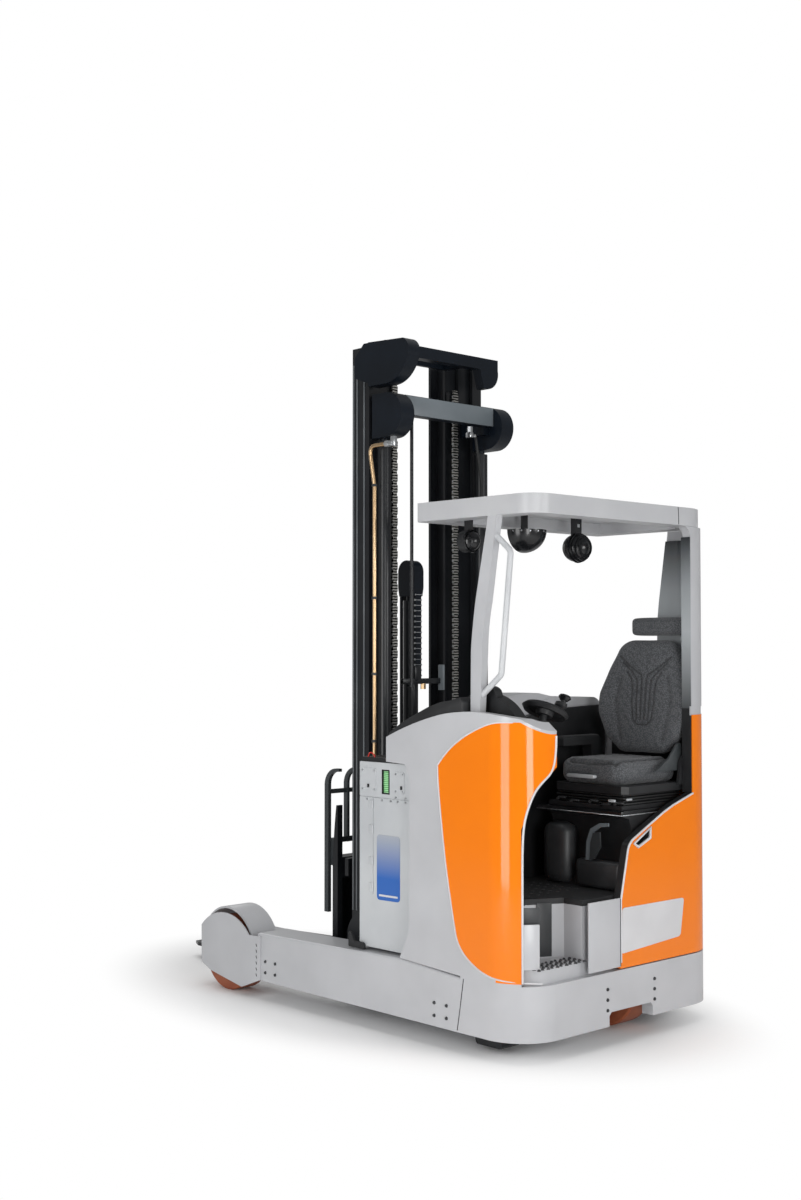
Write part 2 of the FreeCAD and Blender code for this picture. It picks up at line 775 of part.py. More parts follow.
# ------------------------------------------------------------------ overhead guard
def make_guard():
    roof = piece("guard_roof")
    top = dims.guard_top
    low = top - dims.guard_thick
    half = dims.guard_half
    middle = 300
    extrude(roof, "z", box(dims.guard_rear, -half, dims.guard_front, half), low, top)
    corners = ((24, True, None), (90, False, True), (dims.corner_radius, False, False))
    for radius, front, left in corners:
        def at_corner(edge):
            x, y = edge.Vertexes[0].X, edge.Vertexes[0].Y
            return (runs_along(edge, "z") and edge.Length > 70 and (x > middle) == front
                    and (left is None or (y > 0) == left))
        round_edges(roof, radius, at_corner)
    rim = 95
    pocket = [
        (dims.guard_rear + rim + 90, -half + rim), (dims.guard_front - rim, -half + rim),
        (dims.guard_front - rim, half - rim), (dims.guard_rear + rim, half - rim),
        (dims.guard_rear + rim, -half + rim + 90), Through(dims.guard_rear + rim + 26, -half + rim + 26),
    ]
    cut(roof, "z", pocket, low - 10, top - 30)
    left = piece("guard_pillar_left")
    blade = [
        (275, 1290), (324, 1290), (320, 1597), Through(309, 1700), (294, 1797), (225, low), (178, low), (231, 1795),
        Through(249, 1700), (257, 1597),
    ]
    extrude(left, "y", blade, half - 34, half)
    right = piece("guard_pillar_right")
    rounded_wall(right, 1353, low, 40, True, 320, 436)
    lean = [(300, 1300), Through(304, 1520), (296, 1738), (240, low + 10), (500, low + 10), (500, 1300)]
    cut(right, "y", lean, -700, -400)
    gusset = [(-440, low), (-372, low), Through(-420, low - 14), (-436, low - 66), (-440, low - 66)]
    extrude(right, "x", gusset, 0, 40)
    doc.recompute()
    y = half - 17
    rail = [(215, y, 2066), (118, y, 1985), (170, y, 1500), (300, y, 1396)]
    shaped("grab_rail", swept(rail, 28, round_section(12)).cut(left.Tip.Shape))
    ceiling = top - 30
    lamps = piece("work_lamps")
    extrude(lamps, "z", box(378, -162, 406, -122), 2070, ceiling)
    revolve(lamps, "y", (392, 2042), dome(-142, 60))
    extrude(lamps, "z", box(494, 398, 518, 426), 2080, ceiling)
    extrude(lamps, "x", Circle(412, 2050, 46), 482, 532)
    mirror = piece("rear_mirror")
    revolve(mirror, "z", (470, 110), dome(2110, 96))
    cut(mirror, "z", box(300, 0, 640, 220), 2110, 2220)
    cut(mirror, "z", box(480, 0, 640, 220), 2000, 2112)
    extrude(mirror, "z", box(460, 96, 476, 124), 2108, ceiling)


def dome(middle, radius):
    """The profile of a ball about a place on its axis, as (along, radius) points."""
    points = [(middle - radius, 0)]
    for angle in (-54, -18, 18, 54):
        turn = math.radians(angle)
        points.append((middle + radius * math.sin(turn), radius * math.cos(turn)))
    return points + [(middle + radius, 0)]


# ------------------------------------------------------------------ battery
def make_battery():
    body = piece("battery_box")
    half = dims.battery_half
    rear, front = dims.battery_rear, dims.battery_front
    block(body, (rear, front), (-half, half), (dims.battery_low, dims.battery_top))
    cut(body, "y", box(800, 988, 848, 1090), half - 8, half + 10)
    cut(body, "y", box(rear - 10, 969, front + 10, 972), half - 4, half + 10)
    cut(body, "y", box(902, 560, 905, 969), half - 4, half + 10)
    cover = piece("battery_cover")
    block(cover, (rear + 10, front - 6), (-half + 8, half - 8), (dims.battery_top, dims.battery_top + 21))
    round_edges(cover, 6, lambda edge: edge.BoundBox.ZMin > float(dims.battery_top) + 20)
    rails = piece("battery_rails")
    for low, high in both_sides(320, 400):
        block(rails, (rear, front), (low, high), (dims.tray_floor, dims.battery_low))


# ------------------------------------------------------------------ mast
def upright(stage, side):
    """The outline of one upright of a stage: 0 is the outer channel, 1 and 2 the beams nested in it."""
    flange = dims.flange
    rear = dims.mast_rear + stage * dims.step_x
    front = rear + dims.mast_depth
    if stage == 0:
        outer = dims.mast_half
        tip = outer - dims.step_y
        corners = [(rear, outer), (front, outer), (front, tip), (front - flange, tip),
                   (front - flange, outer - flange), (rear + flange, outer - flange), (rear + flange, tip),
                   (rear, tip)]
    else:
        web = dims.mast_half - dims.step_y - 7 - (stage - 1) * 73
        outside, inside = {1: (45, 66), 2: (53, 59)}[stage]
        outer, tip = web + outside, web - inside
        thin = dims.beam_wall
        corners = [(rear, outer), (rear + thin, outer), (rear + thin, web), (front - thin, web),
                   (front - thin, outer), (front, outer), (front, tip), (front - thin, tip),
                   (front - thin, web - thin), (rear + thin, web - thin), (rear + thin, tip), (rear, tip)]
    return [(a, side * Size.of(b)) for a, b in corners]


def make_mast():
    rear = dims.mast_rear
    top = dims.mast_top
    outer = piece("mast_outer")
    extrude(outer, "z", [upright(0, 1), upright(0, -1)], dims.mast_foot, top + 75)
    for low, high in ((300, 420), (1070, 1130)):
        block(outer, (rear - 12, rear), (-360, 360), (low, high))
    middle = piece("mast_middle")
    extrude(middle, "z", [upright(1, 1), upright(1, -1)], dims.mast_foot + 9, top + 70)
    start = rear + dims.step_x
    for low, high in ((180, 280), (960, 1030)):
        block(middle, (start, start + 18), (-235, 235), (low, high))
    for low, high in both_sides(170, 235):
        block(middle, (start, start + 18), (low, high), (2740, 2830))
    for low, high in both_sides(dims.chain_y - 12, dims.chain_y + 12):
        block(middle, (dims.chain_x + dims.chain_thick, start), (low, high), (2760, 2800))
    inner = piece("mast_inner")
    extrude(inner, "z", [upright(2, 1), upright(2, -1)], dims.mast_foot + 19, top + 65)
    start = rear + 2 * dims.step_x
    for low, high in ((200, 300), (860, 920)):
        block(inner, (start + 1, start + 19), (-215, 215), (low, high))
    block(inner, (start + 2, start + 105), (-215, 215), (150, 175))
    head = piece("mast_crosshead")
    edge = top + 85
    beam = [
        (375, edge), (375, edge - 54), (-236, edge - 54), (-262, edge - 142), Through(-330, edge - 128),
        (-357, edge - 50), (-357, edge),
    ]
    extrude(head, "x", beam, 1062, 1112)
    for low, high in both_sides(140, 176):
        block(head, (1112, start), (low, high), (edge - 50, edge - 10))
    block(head, (start - 20, start), (-176, 176), (edge - 50, edge - 10))
    pulley_cover = [
        (1160, edge), (930, edge - 12), Through(896, edge - 48), (902, edge - 104), Through(956, edge - 172),
        (1060, edge - 200), (1160, edge - 200),
    ]
    extrude(head, "y", pulley_cover, 322, 392)
    flank = [(1150, edge - 190), (1250, edge - 152), (1250, edge - 60), (1190, edge - 2), (1150, edge - 2)]
    extrude(head, "y", flank, 372, 392)


def leaf_chain(middle, low, high):
    """A leaf chain: full width at its outer plates and narrower between them, one step after another."""
    half = float(dims.chain_width) / 2
    waist = half - 4
    step = float(dims.chain_step)
    rear, thick = float(dims.chain_x), float(dims.chain_thick)
    right, left = [], []
    for k in range(int((high - low) // step)):
        z = low + k * step
        for up, reach in ((0, half), (step * 0.55, half), (step * 0.55, waist), (step, waist)):
            right.append(V(rear, middle + reach, z + up))
            left.append(V(rear, middle - reach, z + up))
    outline = right + left[::-1]
    return Part.Face(Part.makePolygon(outline + outline[:1])).extrude(V(thick, 0, 0))


def make_lift_cylinders():
    x = dims.cylinder_x
    rod = dims.rod_radius
    tubes = piece("lift_cylinders")
    yoke = piece("lift_yoke")
    centre = dims.yoke_z
    radius = dims.yoke_radius
    back = x - 68
    for side in (1, -1):
        y = side * dims.cylinder_y
        extrude(tubes, "z", [Circle(x, y, dims.cylinder_radius), Circle(x, y, rod + 0.5)], dims.mast_foot, 2535)
        extrude(yoke, "z", Circle(x, y, rod), 260, centre - radius + 4)
    housing = [
        (x + 26, centre - radius), (x + 26, centre + radius), (back, centre + radius),
        Through(back - radius, centre), (back, centre - radius),
    ]
    for low, high in both_sides(285, 365):
        extrude(yoke, "y", housing, low, high)
    for low, high in both_sides(245, 286):
        extrude(yoke, "y", box(1050, centre - 34, dims.mast_rear + dims.step_x, centre + 34), low, high)
    block(yoke, (1026, 1070), (-288, 288), (centre + 3, centre + 93))
    runs = [leaf_chain(side * float(dims.chain_y), 500, 2880) for side in (1, -1)]
    shaped("lift_chains", Part.makeCompound(runs))
    pipe = [(1030, 398, 2512), (1142, 398, 2512), (1128, 380, 2330), (1128, 380, 420)]
    shaped("hydraulic_pipe", swept(pipe, 34, round_section(9)))


def make_free_lift():
    x = dims.ram_x
    top = dims.ram_top
    ram = piece("free_lift_cylinder")
    extrude(ram, "z", [Circle(x, 0, dims.ram_radius), Circle(x, 0, 20.5)], 175, top)
    rod = piece("free_lift_head")
    extrude(rod, "z", Circle(x, 0, 20), 700, top + 30)
    cheek = [
        (x - 50, top + 20), (x + 46, top + 20), (x + 54, top + 60), (x + 54, top + 130), Through(x - 2, top + 190),
        (x - 58, top + 130), (x - 58, top + 60),
    ]
    extrude(rod, "y", cheek, -30, 30)
    block(rod, (x - 55, x - 43), (-18, 18), (1460, top + 40))
    block(rod, (x + 43, x + 55), (-18, 18), (640, top + 40))


# ------------------------------------------------------------------ reach carriage, fork carriage and forks
def make_mast_carriage():
    body = piece("mast_carriage")
    floor = dims.mast_foot
    block(body, (1040, 1300), (-400, 400), (dims.mast_low, floor))
    block(body, (1040, 1095), (-400, 400), (floor, 330))
    side_plate = [
        (1040, floor), (1290, floor), (1290, 300), Through(1270, 372), (1210, 420), (1095, 420), (1040, 330),
    ]
    for low, high in both_sides(370, 400):
        extrude(body, "y", side_plate, low, high)
    for low, high in both_sides(400, 450):
        extrude(body, "y", [Circle(1090, 215, 47), Circle(1240, 215, 47)], low, high)
    tube = piece("reach_cylinder")
    extrude(tube, "x", [Circle(120, 205, 30), Circle(120, 205, 15.5)], 320, 995)
    rod = piece("reach_rod")
    extrude(rod, "x", Circle(120, 205, 15), 335, 1040)


def make_fork_carriage():
    """Side plates with rollers that run in the inner mast, two cross plates, and lugs for the tilt pins."""
    body = piece("fork_carriage")
    front = 1385
    plate = [(1262, 190), (front, 190), (front, 640), (1310, 640), Through(1268, 622), (1262, 580)]
    for low, high in both_sides(130, 150):
        extrude(body, "y", plate, low, high)
    for low, high in both_sides(150, 200):
        extrude(body, "y", [Circle(1287, 250, 38), Circle(1287, 560, 38)], low, high)
    for low, high in ((190, 270), (560, 640)):
        block(body, (front - 23, front), (-330, 330), (low, high))
    lug = dims.pin_radius + 8
    x, z = dims.tilt_x, dims.tilt_z
    for low, high in both_sides(118, 138):
        extrude(body, "y", [(front - 5, z - lug), (x, z - lug), Through(x + lug, z), (x, z + lug),
                            (front - 5, z + lug)], low, high)
    for low, high in both_sides(137, 164):
        extrude(body, "y", Circle(x, z, dims.pin_radius), low, high)


def make_fork_frame():
    body = piece("fork_frame")
    rear = 1420
    front = rear + 35
    x, z = dims.tilt_x, dims.tilt_z
    lug = dims.pin_radius + 7
    block(body, (rear, front), (-345, 345), (150, 230))
    block(body, (rear, front), (-345, 345), (545, 640))
    cheek = [
        (rear, 150), (front, 150), (front, 560), Through(front - 6, 700), (rear + 10, 880), (rear, 880),
    ]
    for low, high in both_sides(315, 345):
        extrude(body, "y", cheek, low, high)
    for low, high in both_sides(141, 161):
        extrude(body, "y", [(x, z - lug), (rear + 5, z - lug), (rear + 5, z + lug), (x, z + lug),
                            Through(x - lug, z)], low, high)
        cut(body, "y", Circle(x, z, dims.pin_radius + 0.05), low - 1, high + 1)
    for label, side in (("fork_left", 1), ("fork_right", -1)):
        fork = piece(label)
        face = dims.fork_face
        thick = dims.fork_thick
        back = face - thick
        end = face + dims.fork_length
        low = dims.fork_low
        blade = [
            (back, 640), (back, low + 40), Through(back + 12, low + 12), (back + 40, low), (end, low),
            (end, low + 14), (face + 500, low + thick), (face + 16, low + thick), Through(face + 5, low + thick + 5),
            (face, low + thick + 16), (face, 640),
        ]
        near = side * dims.fork_y - dims.fork_width / 2
        extrude(fork, "y", blade, near, near + dims.fork_width)
        tip = end - 60
        outline = [(tip, near - 1), (end + 1, near - 1), (end + 1, near + 28)]
        cut(fork, "z", outline, 0, 200)
        outline = [(tip, near + dims.fork_width + 1), (end + 1, near + dims.fork_width + 1),
                   (end + 1, near + dims.fork_width - 28)]
        cut(fork, "z", outline, 0, 200)
        block(fork, (front, back), (near, near + dims.fork_width), (560, 625))
        block(fork, (front, back), (near, near + dims.fork_width), (165, 215))


def make_load_backrest():
    body = piece("load_backrest")
    face = dims.fork_face
    top = dims.guard_high
    pitch = 115.6
    for k in range(-3, 4):
        y = k * pitch
        half, low = (9, dims.guard_low) if abs(k) == 3 else (7, 700)
        outline = [
            (face - 26, low), (face + 1, low), (face + 1, top - 75), Through(face - 26, top - 20),
            (face - 84, top), (face - 102, top), (face - 102, top - 14), (face - 84, top - 14),
            Through(face - 42, top - 34), (face - 26, top - 78),
        ]
        extrude(body, "y", outline, y - half, y + half)
    for low, high in ((700, 724), (930, 950)):
        block(body, (face - 22, face - 10), (-352, 352), (low, high))
    for low, high in both_sides(318, 338):
        block(body, (1455, face - 22), (low, high), (600, 724))


make_chassis()
make_tray()
leg = make_leg()
mirrored("reach_leg_right", leg)
make_wheel_covers()
make_load_axles()
make_load_wheel()
make_skid()
make_drive()
make_left_side()
make_right_side()
make_floor()
make_seat_base()
make_seat()
make_consoles()
make_hood()
make_guard()
make_battery()
make_mast()
make_lift_cylinders()
make_free_lift()
make_mast_carriage()
make_fork_carriage()
make_fork_frame()
make_load_backrest()

# ------------------------------------------------------------------ check and write
doc.recompute()
os.makedirs("parts", exist_ok=True)
failed = [obj.Label for obj in doc.Objects if {"Invalid", "Error"} & set(obj.State)]
if failed:
    raise SystemExit(f"failed: {failed}")
for node in nodes:
    if node.Shape.isNull() or not node.Shape.isValid():
        raise SystemExit(f"bad shape: {node.Label}")
    node.Shape.exportStep(f"parts/{node.Label}.step")
    bounds = node.Shape.BoundBox
    print(f"{node.Label:24s} X {bounds.XMin:8.1f} {bounds.XMax:8.1f}  Y {bounds.YMin:7.1f} {bounds.YMax:7.1f}"
          f"  Z {bounds.ZMin:7.1f} {bounds.ZMax:7.1f}  solids {len(node.Shape.Solids)}")
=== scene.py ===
# %% [markdown]
# # A reach truck, dressed for a studio picture
# A reach truck is a warehouse machine: a driver's cabin and a battery on a low chassis, and a tall mast
# that rolls out between two legs. The hard, load-bearing shapes come from the engineering model. This
# lesson adds what a paint shop, an upholsterer and a fitter would: finishes, cloth, chain pins, bolts.

# %% Load the frame
import bmesh
import bpy
import math
from mathutils import Matrix, Vector


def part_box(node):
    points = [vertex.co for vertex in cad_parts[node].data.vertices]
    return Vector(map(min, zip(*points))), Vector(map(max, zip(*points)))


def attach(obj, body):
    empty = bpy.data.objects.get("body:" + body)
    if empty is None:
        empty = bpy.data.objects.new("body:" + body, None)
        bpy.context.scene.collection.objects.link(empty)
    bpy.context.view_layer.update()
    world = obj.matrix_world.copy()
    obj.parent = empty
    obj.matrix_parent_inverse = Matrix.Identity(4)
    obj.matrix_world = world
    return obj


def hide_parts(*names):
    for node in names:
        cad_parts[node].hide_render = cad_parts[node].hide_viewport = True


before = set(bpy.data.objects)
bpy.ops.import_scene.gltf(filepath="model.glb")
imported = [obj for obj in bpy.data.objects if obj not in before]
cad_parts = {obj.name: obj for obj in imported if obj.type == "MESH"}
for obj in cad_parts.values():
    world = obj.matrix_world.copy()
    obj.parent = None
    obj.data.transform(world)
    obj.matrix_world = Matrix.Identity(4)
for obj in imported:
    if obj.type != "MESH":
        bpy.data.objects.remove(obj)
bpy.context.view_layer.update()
scene = bpy.context.scene

# %% [markdown]
# Every place below is a station from the chassis's rear face, in millimetres, as on a works drawing.
# One function turns it to the frame's metres, and reads where that face is from the chassis itself.

# %% Stations
REAR_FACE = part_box("chassis_frame")[0][0]


def at(x, y, z):
    """A station in millimetres, as a point of the frame in metres."""
    return Vector((REAR_FACE + x / 1000, y / 1000, z / 1000))


def mm(value):
    """Millimetres in the frame's metres."""
    return value / 1000


print("rear face at x =", round(REAR_FACE, 4), "m")

# %% [markdown]
# ## Finishes
# A colour on a paint card is written in sRGB, and a renderer counts light linearly, so one function
# turns the one to the other. Another adds a shader node with its settings, its colour stops and its
# links, so that every finish below is a short list of nodes.

# %% Colour and node helpers
def rgb(code):
    """A hex sRGB colour as linear red, green, blue and alpha."""
    parts = [int(code[i:i + 2], 16) / 255 for i in (1, 3, 5)]
    return [p / 12.92 if p <= 0.04045 else ((p + 0.055) / 1.055) ** 2.4 for p in parts] + [1.0]


def add(tree, kind, settings=(), to=None, **links):
    """A node of a kind. Settings go to inputs, properties or colour stops, links to named inputs."""
    node = tree.nodes.new(kind)
    for key, value in dict(settings).items():
        if key == "stops":
            elements = node.color_ramp.elements
            while len(elements) < len(value):
                elements.new(0.5)
            for element, (position, code) in zip(elements, value):
                element.position = position
                element.color = rgb(code)
        elif key in node.inputs:
            node.inputs[key].default_value = value
        else:
            setattr(node, key, value)
    for key, socket in links.items():
        tree.links.new(socket, node.inputs[key.replace("_", " ")])
    if to:
        tree.links.new(node.outputs[0], to)
    return node


def finish(name, roughness, metallic=0.0, **settings):
    """A new material: its node tree, its shader, and the object coordinates that patterns follow."""
    material = bpy.data.materials.new(name)
    material.use_nodes = True
    tree = material.node_tree
    shader = tree.nodes["Principled BSDF"]
    shader.inputs["Roughness"].default_value = roughness
    shader.inputs["Metallic"].default_value = metallic
    for key, value in settings.items():
        shader.inputs[key.replace("_", " ")].default_value = value
    place = add(tree, "ShaderNodeTexCoord").outputs["Object"]
    print("finish:", name)
    return material, tree, shader, place


def mottle(tree, shader, place, dark, light, grain_mm):
    """Lets the colour drift between two shades, in clouds of a real size."""
    cloud = add(tree, "ShaderNodeTexNoise", {"Scale": 1000 / grain_mm, "Detail": 3.0}, Vector=place)
    add(tree, "ShaderNodeValToRGB", {"stops": [(0.35, dark), (0.65, light)]}, shader.inputs["Base Color"],
        Fac=cloud.outputs["Fac"])
    return cloud


print("a mid grey of #808080 is", round(rgb("#808080")[0], 3), "in linear light")

# %% [markdown]
# Powder-coated steel plate is never quite flat: the coat flows into a faint orange peel a few
# millimetres across, and the plate shows through as slow changes of shade. A clear, even colour with
# that low relief reads as paint. The orange field has a gloss coat on top as a car has, and that coat
# alone mirrors the room, so the colour under it stays deep.

# %% Paints
ORANGE_PEEL_MM = 2.6


def powder_coat(name, dark, light, roughness, coat=0.0):
    """Paint that drifts a little in shade and has a faint orange peel."""
    material, tree, shader, place = finish(name, roughness, Coat_Weight=coat, Coat_Roughness=0.08)
    mottle(tree, shader, place, dark, light, 260)
    peel = add(tree, "ShaderNodeTexNoise", {"Scale": 1000 / ORANGE_PEEL_MM, "Detail": 1.0}, Vector=place)
    add(tree, "ShaderNodeBump", {"Strength": 0.25, "Distance": mm(0.05)}, shader.inputs["Normal"],
        Height=peel.outputs["Fac"])
    return material


def satin(name, dark, light, roughness, level):
    """A powder coat that mirrors less of the room, for the near-black enamels."""
    material = powder_coat(name, dark, light, roughness)
    material.node_tree.nodes["Principled BSDF"].inputs["Specular IOR Level"].default_value = level
    return material


light_grey_paint = powder_coat("light_grey_powder_coat", "#B4B5B8", "#BBBCBF", 0.28)
roof_paint = powder_coat("pale_grey_powder_coat", "#B5B6B9", "#BDBEC0", 0.36)
orange_paint = powder_coat("orange_gloss_enamel", "#EE7A00", "#F07C00", 0.3, coat=0.85)
orange_paint.node_tree.nodes["Principled BSDF"].inputs["Specular IOR Level"].default_value = 0.0
mast_paint = satin("black_satin_enamel", "#15171A", "#1D1F22", 0.3, 0.4)
housing_paint = satin("blue_black_satin_enamel", "#0A1017", "#0F161F", 0.34, 0.25)
# a light enamel for the painted highlights along the mast rails' edges
rail_edge_highlight_paint = satin("rail_edge_highlight_enamel", "#5C6063", "#6C7073", 0.3, 0.5)
carrier_paint = powder_coat("dark_grey_satin_enamel", "#34383A", "#3C4042", 0.42)
yoke_paint = powder_coat("steel_grey_satin_enamel", "#676F74", "#737A7F", 0.34)
battery_paint = powder_coat("cool_grey_powder_coat", "#B9BCBF", "#C3C6C8", 0.4)
trim_paint = powder_coat("pale_grey_bead_enamel", "#C8C8CA", "#D0D0D2", 0.4)
lever_paint = powder_coat("light_lever_plastic", "#9EA1A4", "#B0B3B6", 0.45)
grab_rail_paint = powder_coat("rail_powder_coat", "#B9BBBE", "#C6C8CA", 0.35)

# %% [markdown]
# Ground shafts and drawn copper-nickel tube are bare metal, so they are fully metallic, and only their
# roughness and the direction of their scratches tell them apart.

# %% Metals
def bare_metal(name, dark, light, roughness, stretch):
    """Metal with scratches stretched along one axis."""
    material, tree, shader, place = finish(name, roughness, metallic=1.0)
    turned = add(tree, "ShaderNodeMapping", {"Scale": stretch}, Vector=place)
    cloud = mottle(tree, shader, turned.outputs["Vector"], dark, light, 12)
    add(tree, "ShaderNodeBump", {"Strength": 0.2, "Distance": mm(0.05)}, shader.inputs["Normal"],
        Height=cloud.outputs["Fac"])
    return material


bright_steel = bare_metal("ground_steel", "#B4B7BA", "#D3D5D7", 0.28, (1, 1, 0.1))
copper = bare_metal("drawn_copper_nickel", "#C6A67E", "#D3B792", 0.3, (1, 1, 0.05))

# %% [markdown]
# Moulded covers carry a fine leather-like grain, rubber mats are duller, and the polyurethane of the
# wheels is a red-brown cast that looks waxy rather than black.

# %% Plastics, rubber and polyurethane
def moulded(name, dark, light, roughness, grain_mm, depth_mm):
    """Plastic or rubber out of a mould, with the mould's own grain."""
    material, tree, shader, place = finish(name, roughness)
    mottle(tree, shader, place, dark, light, 90)
    grain = add(tree, "ShaderNodeTexVoronoi", {"Scale": 1000 / grain_mm}, Vector=place)
    add(tree, "ShaderNodeBump", {"Strength": 0.35, "Distance": mm(depth_mm)}, shader.inputs["Normal"],
        Height=grain.outputs["Distance"])
    return material


black_plastic = moulded("grained_black_abs", "#17181A", "#1F2022", 0.48, 2.2, 0.12)
gloss_plastic = moulded("smooth_black_polycarbonate", "#101113", "#17181A", 0.22, 6.0, 0.01)
mat_rubber = moulded("studded_rubber", "#1E1F21", "#292A2C", 0.6, 9.0, 0.9)
soft_plastic = moulded("soft_grey_cladding", "#2A2C2E", "#343638", 0.42, 2.0, 0.12)
hose_rubber = moulded("hose_rubber", "#141516", "#1C1D1E", 0.55, 3.0, 0.05)
polyurethane = moulded("cast_polyurethane", "#8A4426", "#9B5230", 0.45, 14.0, 0.05)
hub_iron = moulded("cast_hub_iron", "#2C2D2F", "#3A3B3D", 0.6, 3.0, 0.2)
red_plastic = moulded("red_cable_pvc", "#B8231A", "#C92E22", 0.4, 5.0, 0.02)

# %% [markdown]
# Oiled leaf chain is a stack of plates, so its side shows a link, a gap and a link again. Bands at half
# the chain's pitch give it that beat: pale for the plates, and dark for the gaps as painted shade. A
# little distortion gives it the wear. The battery's charge gauge is lit in segments, so it gets bands as
# well, eight millimetres apart.

# %% Patterned finishes
def bands_every(spacing_mm):
    """The wave texture's scale that repeats its bands at a real spacing."""
    return 2 * math.pi / (20 * mm(spacing_mm))


CHAIN_PITCH = 25.4
chain_steel, tree, shader, place = finish("oiled_chain_steel", 0.34, metallic=1.0)
links = add(tree, "ShaderNodeTexWave", {"Scale": bands_every(CHAIN_PITCH / 2), "bands_direction": "Z",
                                        "Distortion": 1.2, "Detail Scale": 3.0}, Vector=place)
# dark stop: painted shade in the gaps between the chain's plates
add(tree, "ShaderNodeValToRGB", {"stops": [(0.34, "#1C1C1B"), (0.62, "#C4C3BE")]},
    shader.inputs["Base Color"], Fac=links.outputs["Fac"])
add(tree, "ShaderNodeBump", {"Strength": 0.6, "Distance": mm(1.5)}, shader.inputs["Normal"],
    Height=links.outputs["Fac"])

gauge_green, tree, shader, place = finish("green_gauge_segments", 0.25, Coat_Weight=0.5)
bands = add(tree, "ShaderNodeTexWave", {"Scale": bands_every(8), "bands_direction": "Z"}, Vector=place)
add(tree, "ShaderNodeValToRGB", {"stops": [(0.12, "#2F7A3A"), (0.3, "#9FE0A0")]},
    shader.inputs["Base Color"], Fac=bands.outputs["Fac"])

# %% [markdown]
# A battery carries a bare nameplate whose blue fades to grey. A smoked panel carries a painted
# reflection: a pale band across its middle that darkens toward its foot and toward the roof. Both are a
# gradient along the height, with no picture.

# %% Finishes that fade with height
def fading(name, low, high, stops, roughness):
    """A glossy finish whose colour changes from one height to another, in millimetres."""
    material, tree, shader, place = finish(name, roughness, Coat_Weight=0.4)
    height = add(tree, "ShaderNodeSeparateXYZ", Vector=place)
    fade = add(tree, "ShaderNodeMapRange", {"From Min": mm(low), "From Max": mm(high)},
               Value=height.outputs["Z"])
    add(tree, "ShaderNodeValToRGB", {"stops": stops}, shader.inputs["Base Color"], Fac=fade.outputs["Result"])
    return material


plate_low, plate_high = 557, 815
lining_low, lining_high = 1346, 2084
blue_plate = fading("blue_fading_plate", plate_low, plate_high, [(0.3, "#1F5FB2"), (0.98, "#A4AAB4")], 0.3)
# painted reflection: pale in the middle of the smoked panel, dark at its foot and at the roof
smoked_panel_painted_reflection = fading("smoked_glossy_panel_painted_reflection", lining_low, lining_high,
                      [(0.0, "#4A4D4F"), (0.45, "#B0B5B8"), (0.7, "#989DA0"), (1.0, "#34373A")], 0.2)

# %% [markdown]
# Seat cloth is a coarse melange knit: small loops of grey yarn over black. Cells a few millimetres wide
# stand for the loops, and the same cells lift them. Where the upholsterer's thread pulls a channel in,
# the cloth lies in its own shade, so each pad keeps an attribute along its seams that darkens it there.
# The loops are drawn about twice as coarse as real ones, because finer ones wouldn't show.

# %% Seat cloth
def knit(name, dark, light, loop_mm):
    """A melange knit of loops of a size, darker along the pad's seams."""
    material, tree, shader, place = finish(name, 0.9, Sheen_Weight=0.2)
    loops = add(tree, "ShaderNodeTexVoronoi", {"Scale": 1000 / loop_mm, "Randomness": 0.7}, Vector=place)
    yarn = add(tree, "ShaderNodeValToRGB", {"stops": [(0.2, light), (0.62, dark)]},
               Fac=loops.outputs["Distance"])
    seam = add(tree, "ShaderNodeAttribute", {"attribute_name": "seam"})
    shade = add(tree, "ShaderNodeMapRange", {"To Min": 1.0, "To Max": 0.36}, Value=seam.outputs["Fac"])
    add(tree, "ShaderNodeHueSaturation", (), shader.inputs["Base Color"], Color=yarn.outputs["Color"],
        Value=shade.outputs["Result"])
    add(tree, "ShaderNodeBump", {"Strength": 0.25, "Distance": mm(-0.4)}, shader.inputs["Normal"],
        Height=loops.outputs["Distance"])
    return material


seat_cloth = knit("grey_melange_knit", "#45474A", "#67696C", 6.0)

# %% [markdown]
# The engineering model comes unpainted. A job card, as a paint shop has, lists under each finish the
# nodes that wear it, and each of a node's material slots gets that finish.

# %% Which finish each node wears
finishes = {
    light_grey_paint: ["chassis_frame", "battery_tray", "reach_leg_left", "reach_leg_right",
                       "wheel_cover_left", "wheel_cover_right", "side_cover_left", "side_cover_right",
                       "front_hood", "guard_pillar_left", "guard_pillar_right", "step_box"],
    roof_paint: ["guard_roof"],
    orange_paint: ["side_panel_left", "rear_panel"],
    battery_paint: ["battery_box"],
    housing_paint: ["mast_crosshead", "lift_yoke", "free_lift_head"],
    mast_paint: ["mast_outer", "mast_middle", "mast_inner", "lift_cylinders",
                 "free_lift_cylinder", "mast_carriage", "fork_carriage", "fork_frame",
                 "fork_left", "fork_right", "reach_cylinder", "battery_rails", "support_skid", "drive_plate",
                 "drive_motor", "drive_fork"],
    carrier_paint: ["load_backrest"],
    grab_rail_paint: ["grab_rail"],
    bright_steel: ["reach_rod", "load_axle_left", "load_axle_right"],
    chain_steel: ["lift_chains"],
    copper: ["hydraulic_pipe"],
    polyurethane: ["load_wheel_left", "load_wheel_right", "drive_wheel"],
    black_plastic: ["seat_box", "seat_suspension", "dash_console", "dash_hood", "dash_panel",
                    "steering_column", "steering_wheel", "armrest", "battery_cover", "work_lamps",
                    "rear_mirror"],
    mat_rubber: ["floor_mat"],
    seat_cloth: ["seat_cushion", "seat_backrest", "headrest"],
}
for material, names in finishes.items():
    for name in names:
        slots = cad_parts[name].material_slots
        for slot in slots:
            slot.material = material
        if not slots:
            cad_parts[name].data.materials.append(material)
print("finishes on nodes:", len(finishes))

# %% [markdown]
# ## Making pieces
# Each new piece starts from one of bmesh's basic shapes, is bent or bevelled by its operators, and then
# rides on the body that carries it, which is the chassis unless said otherwise.

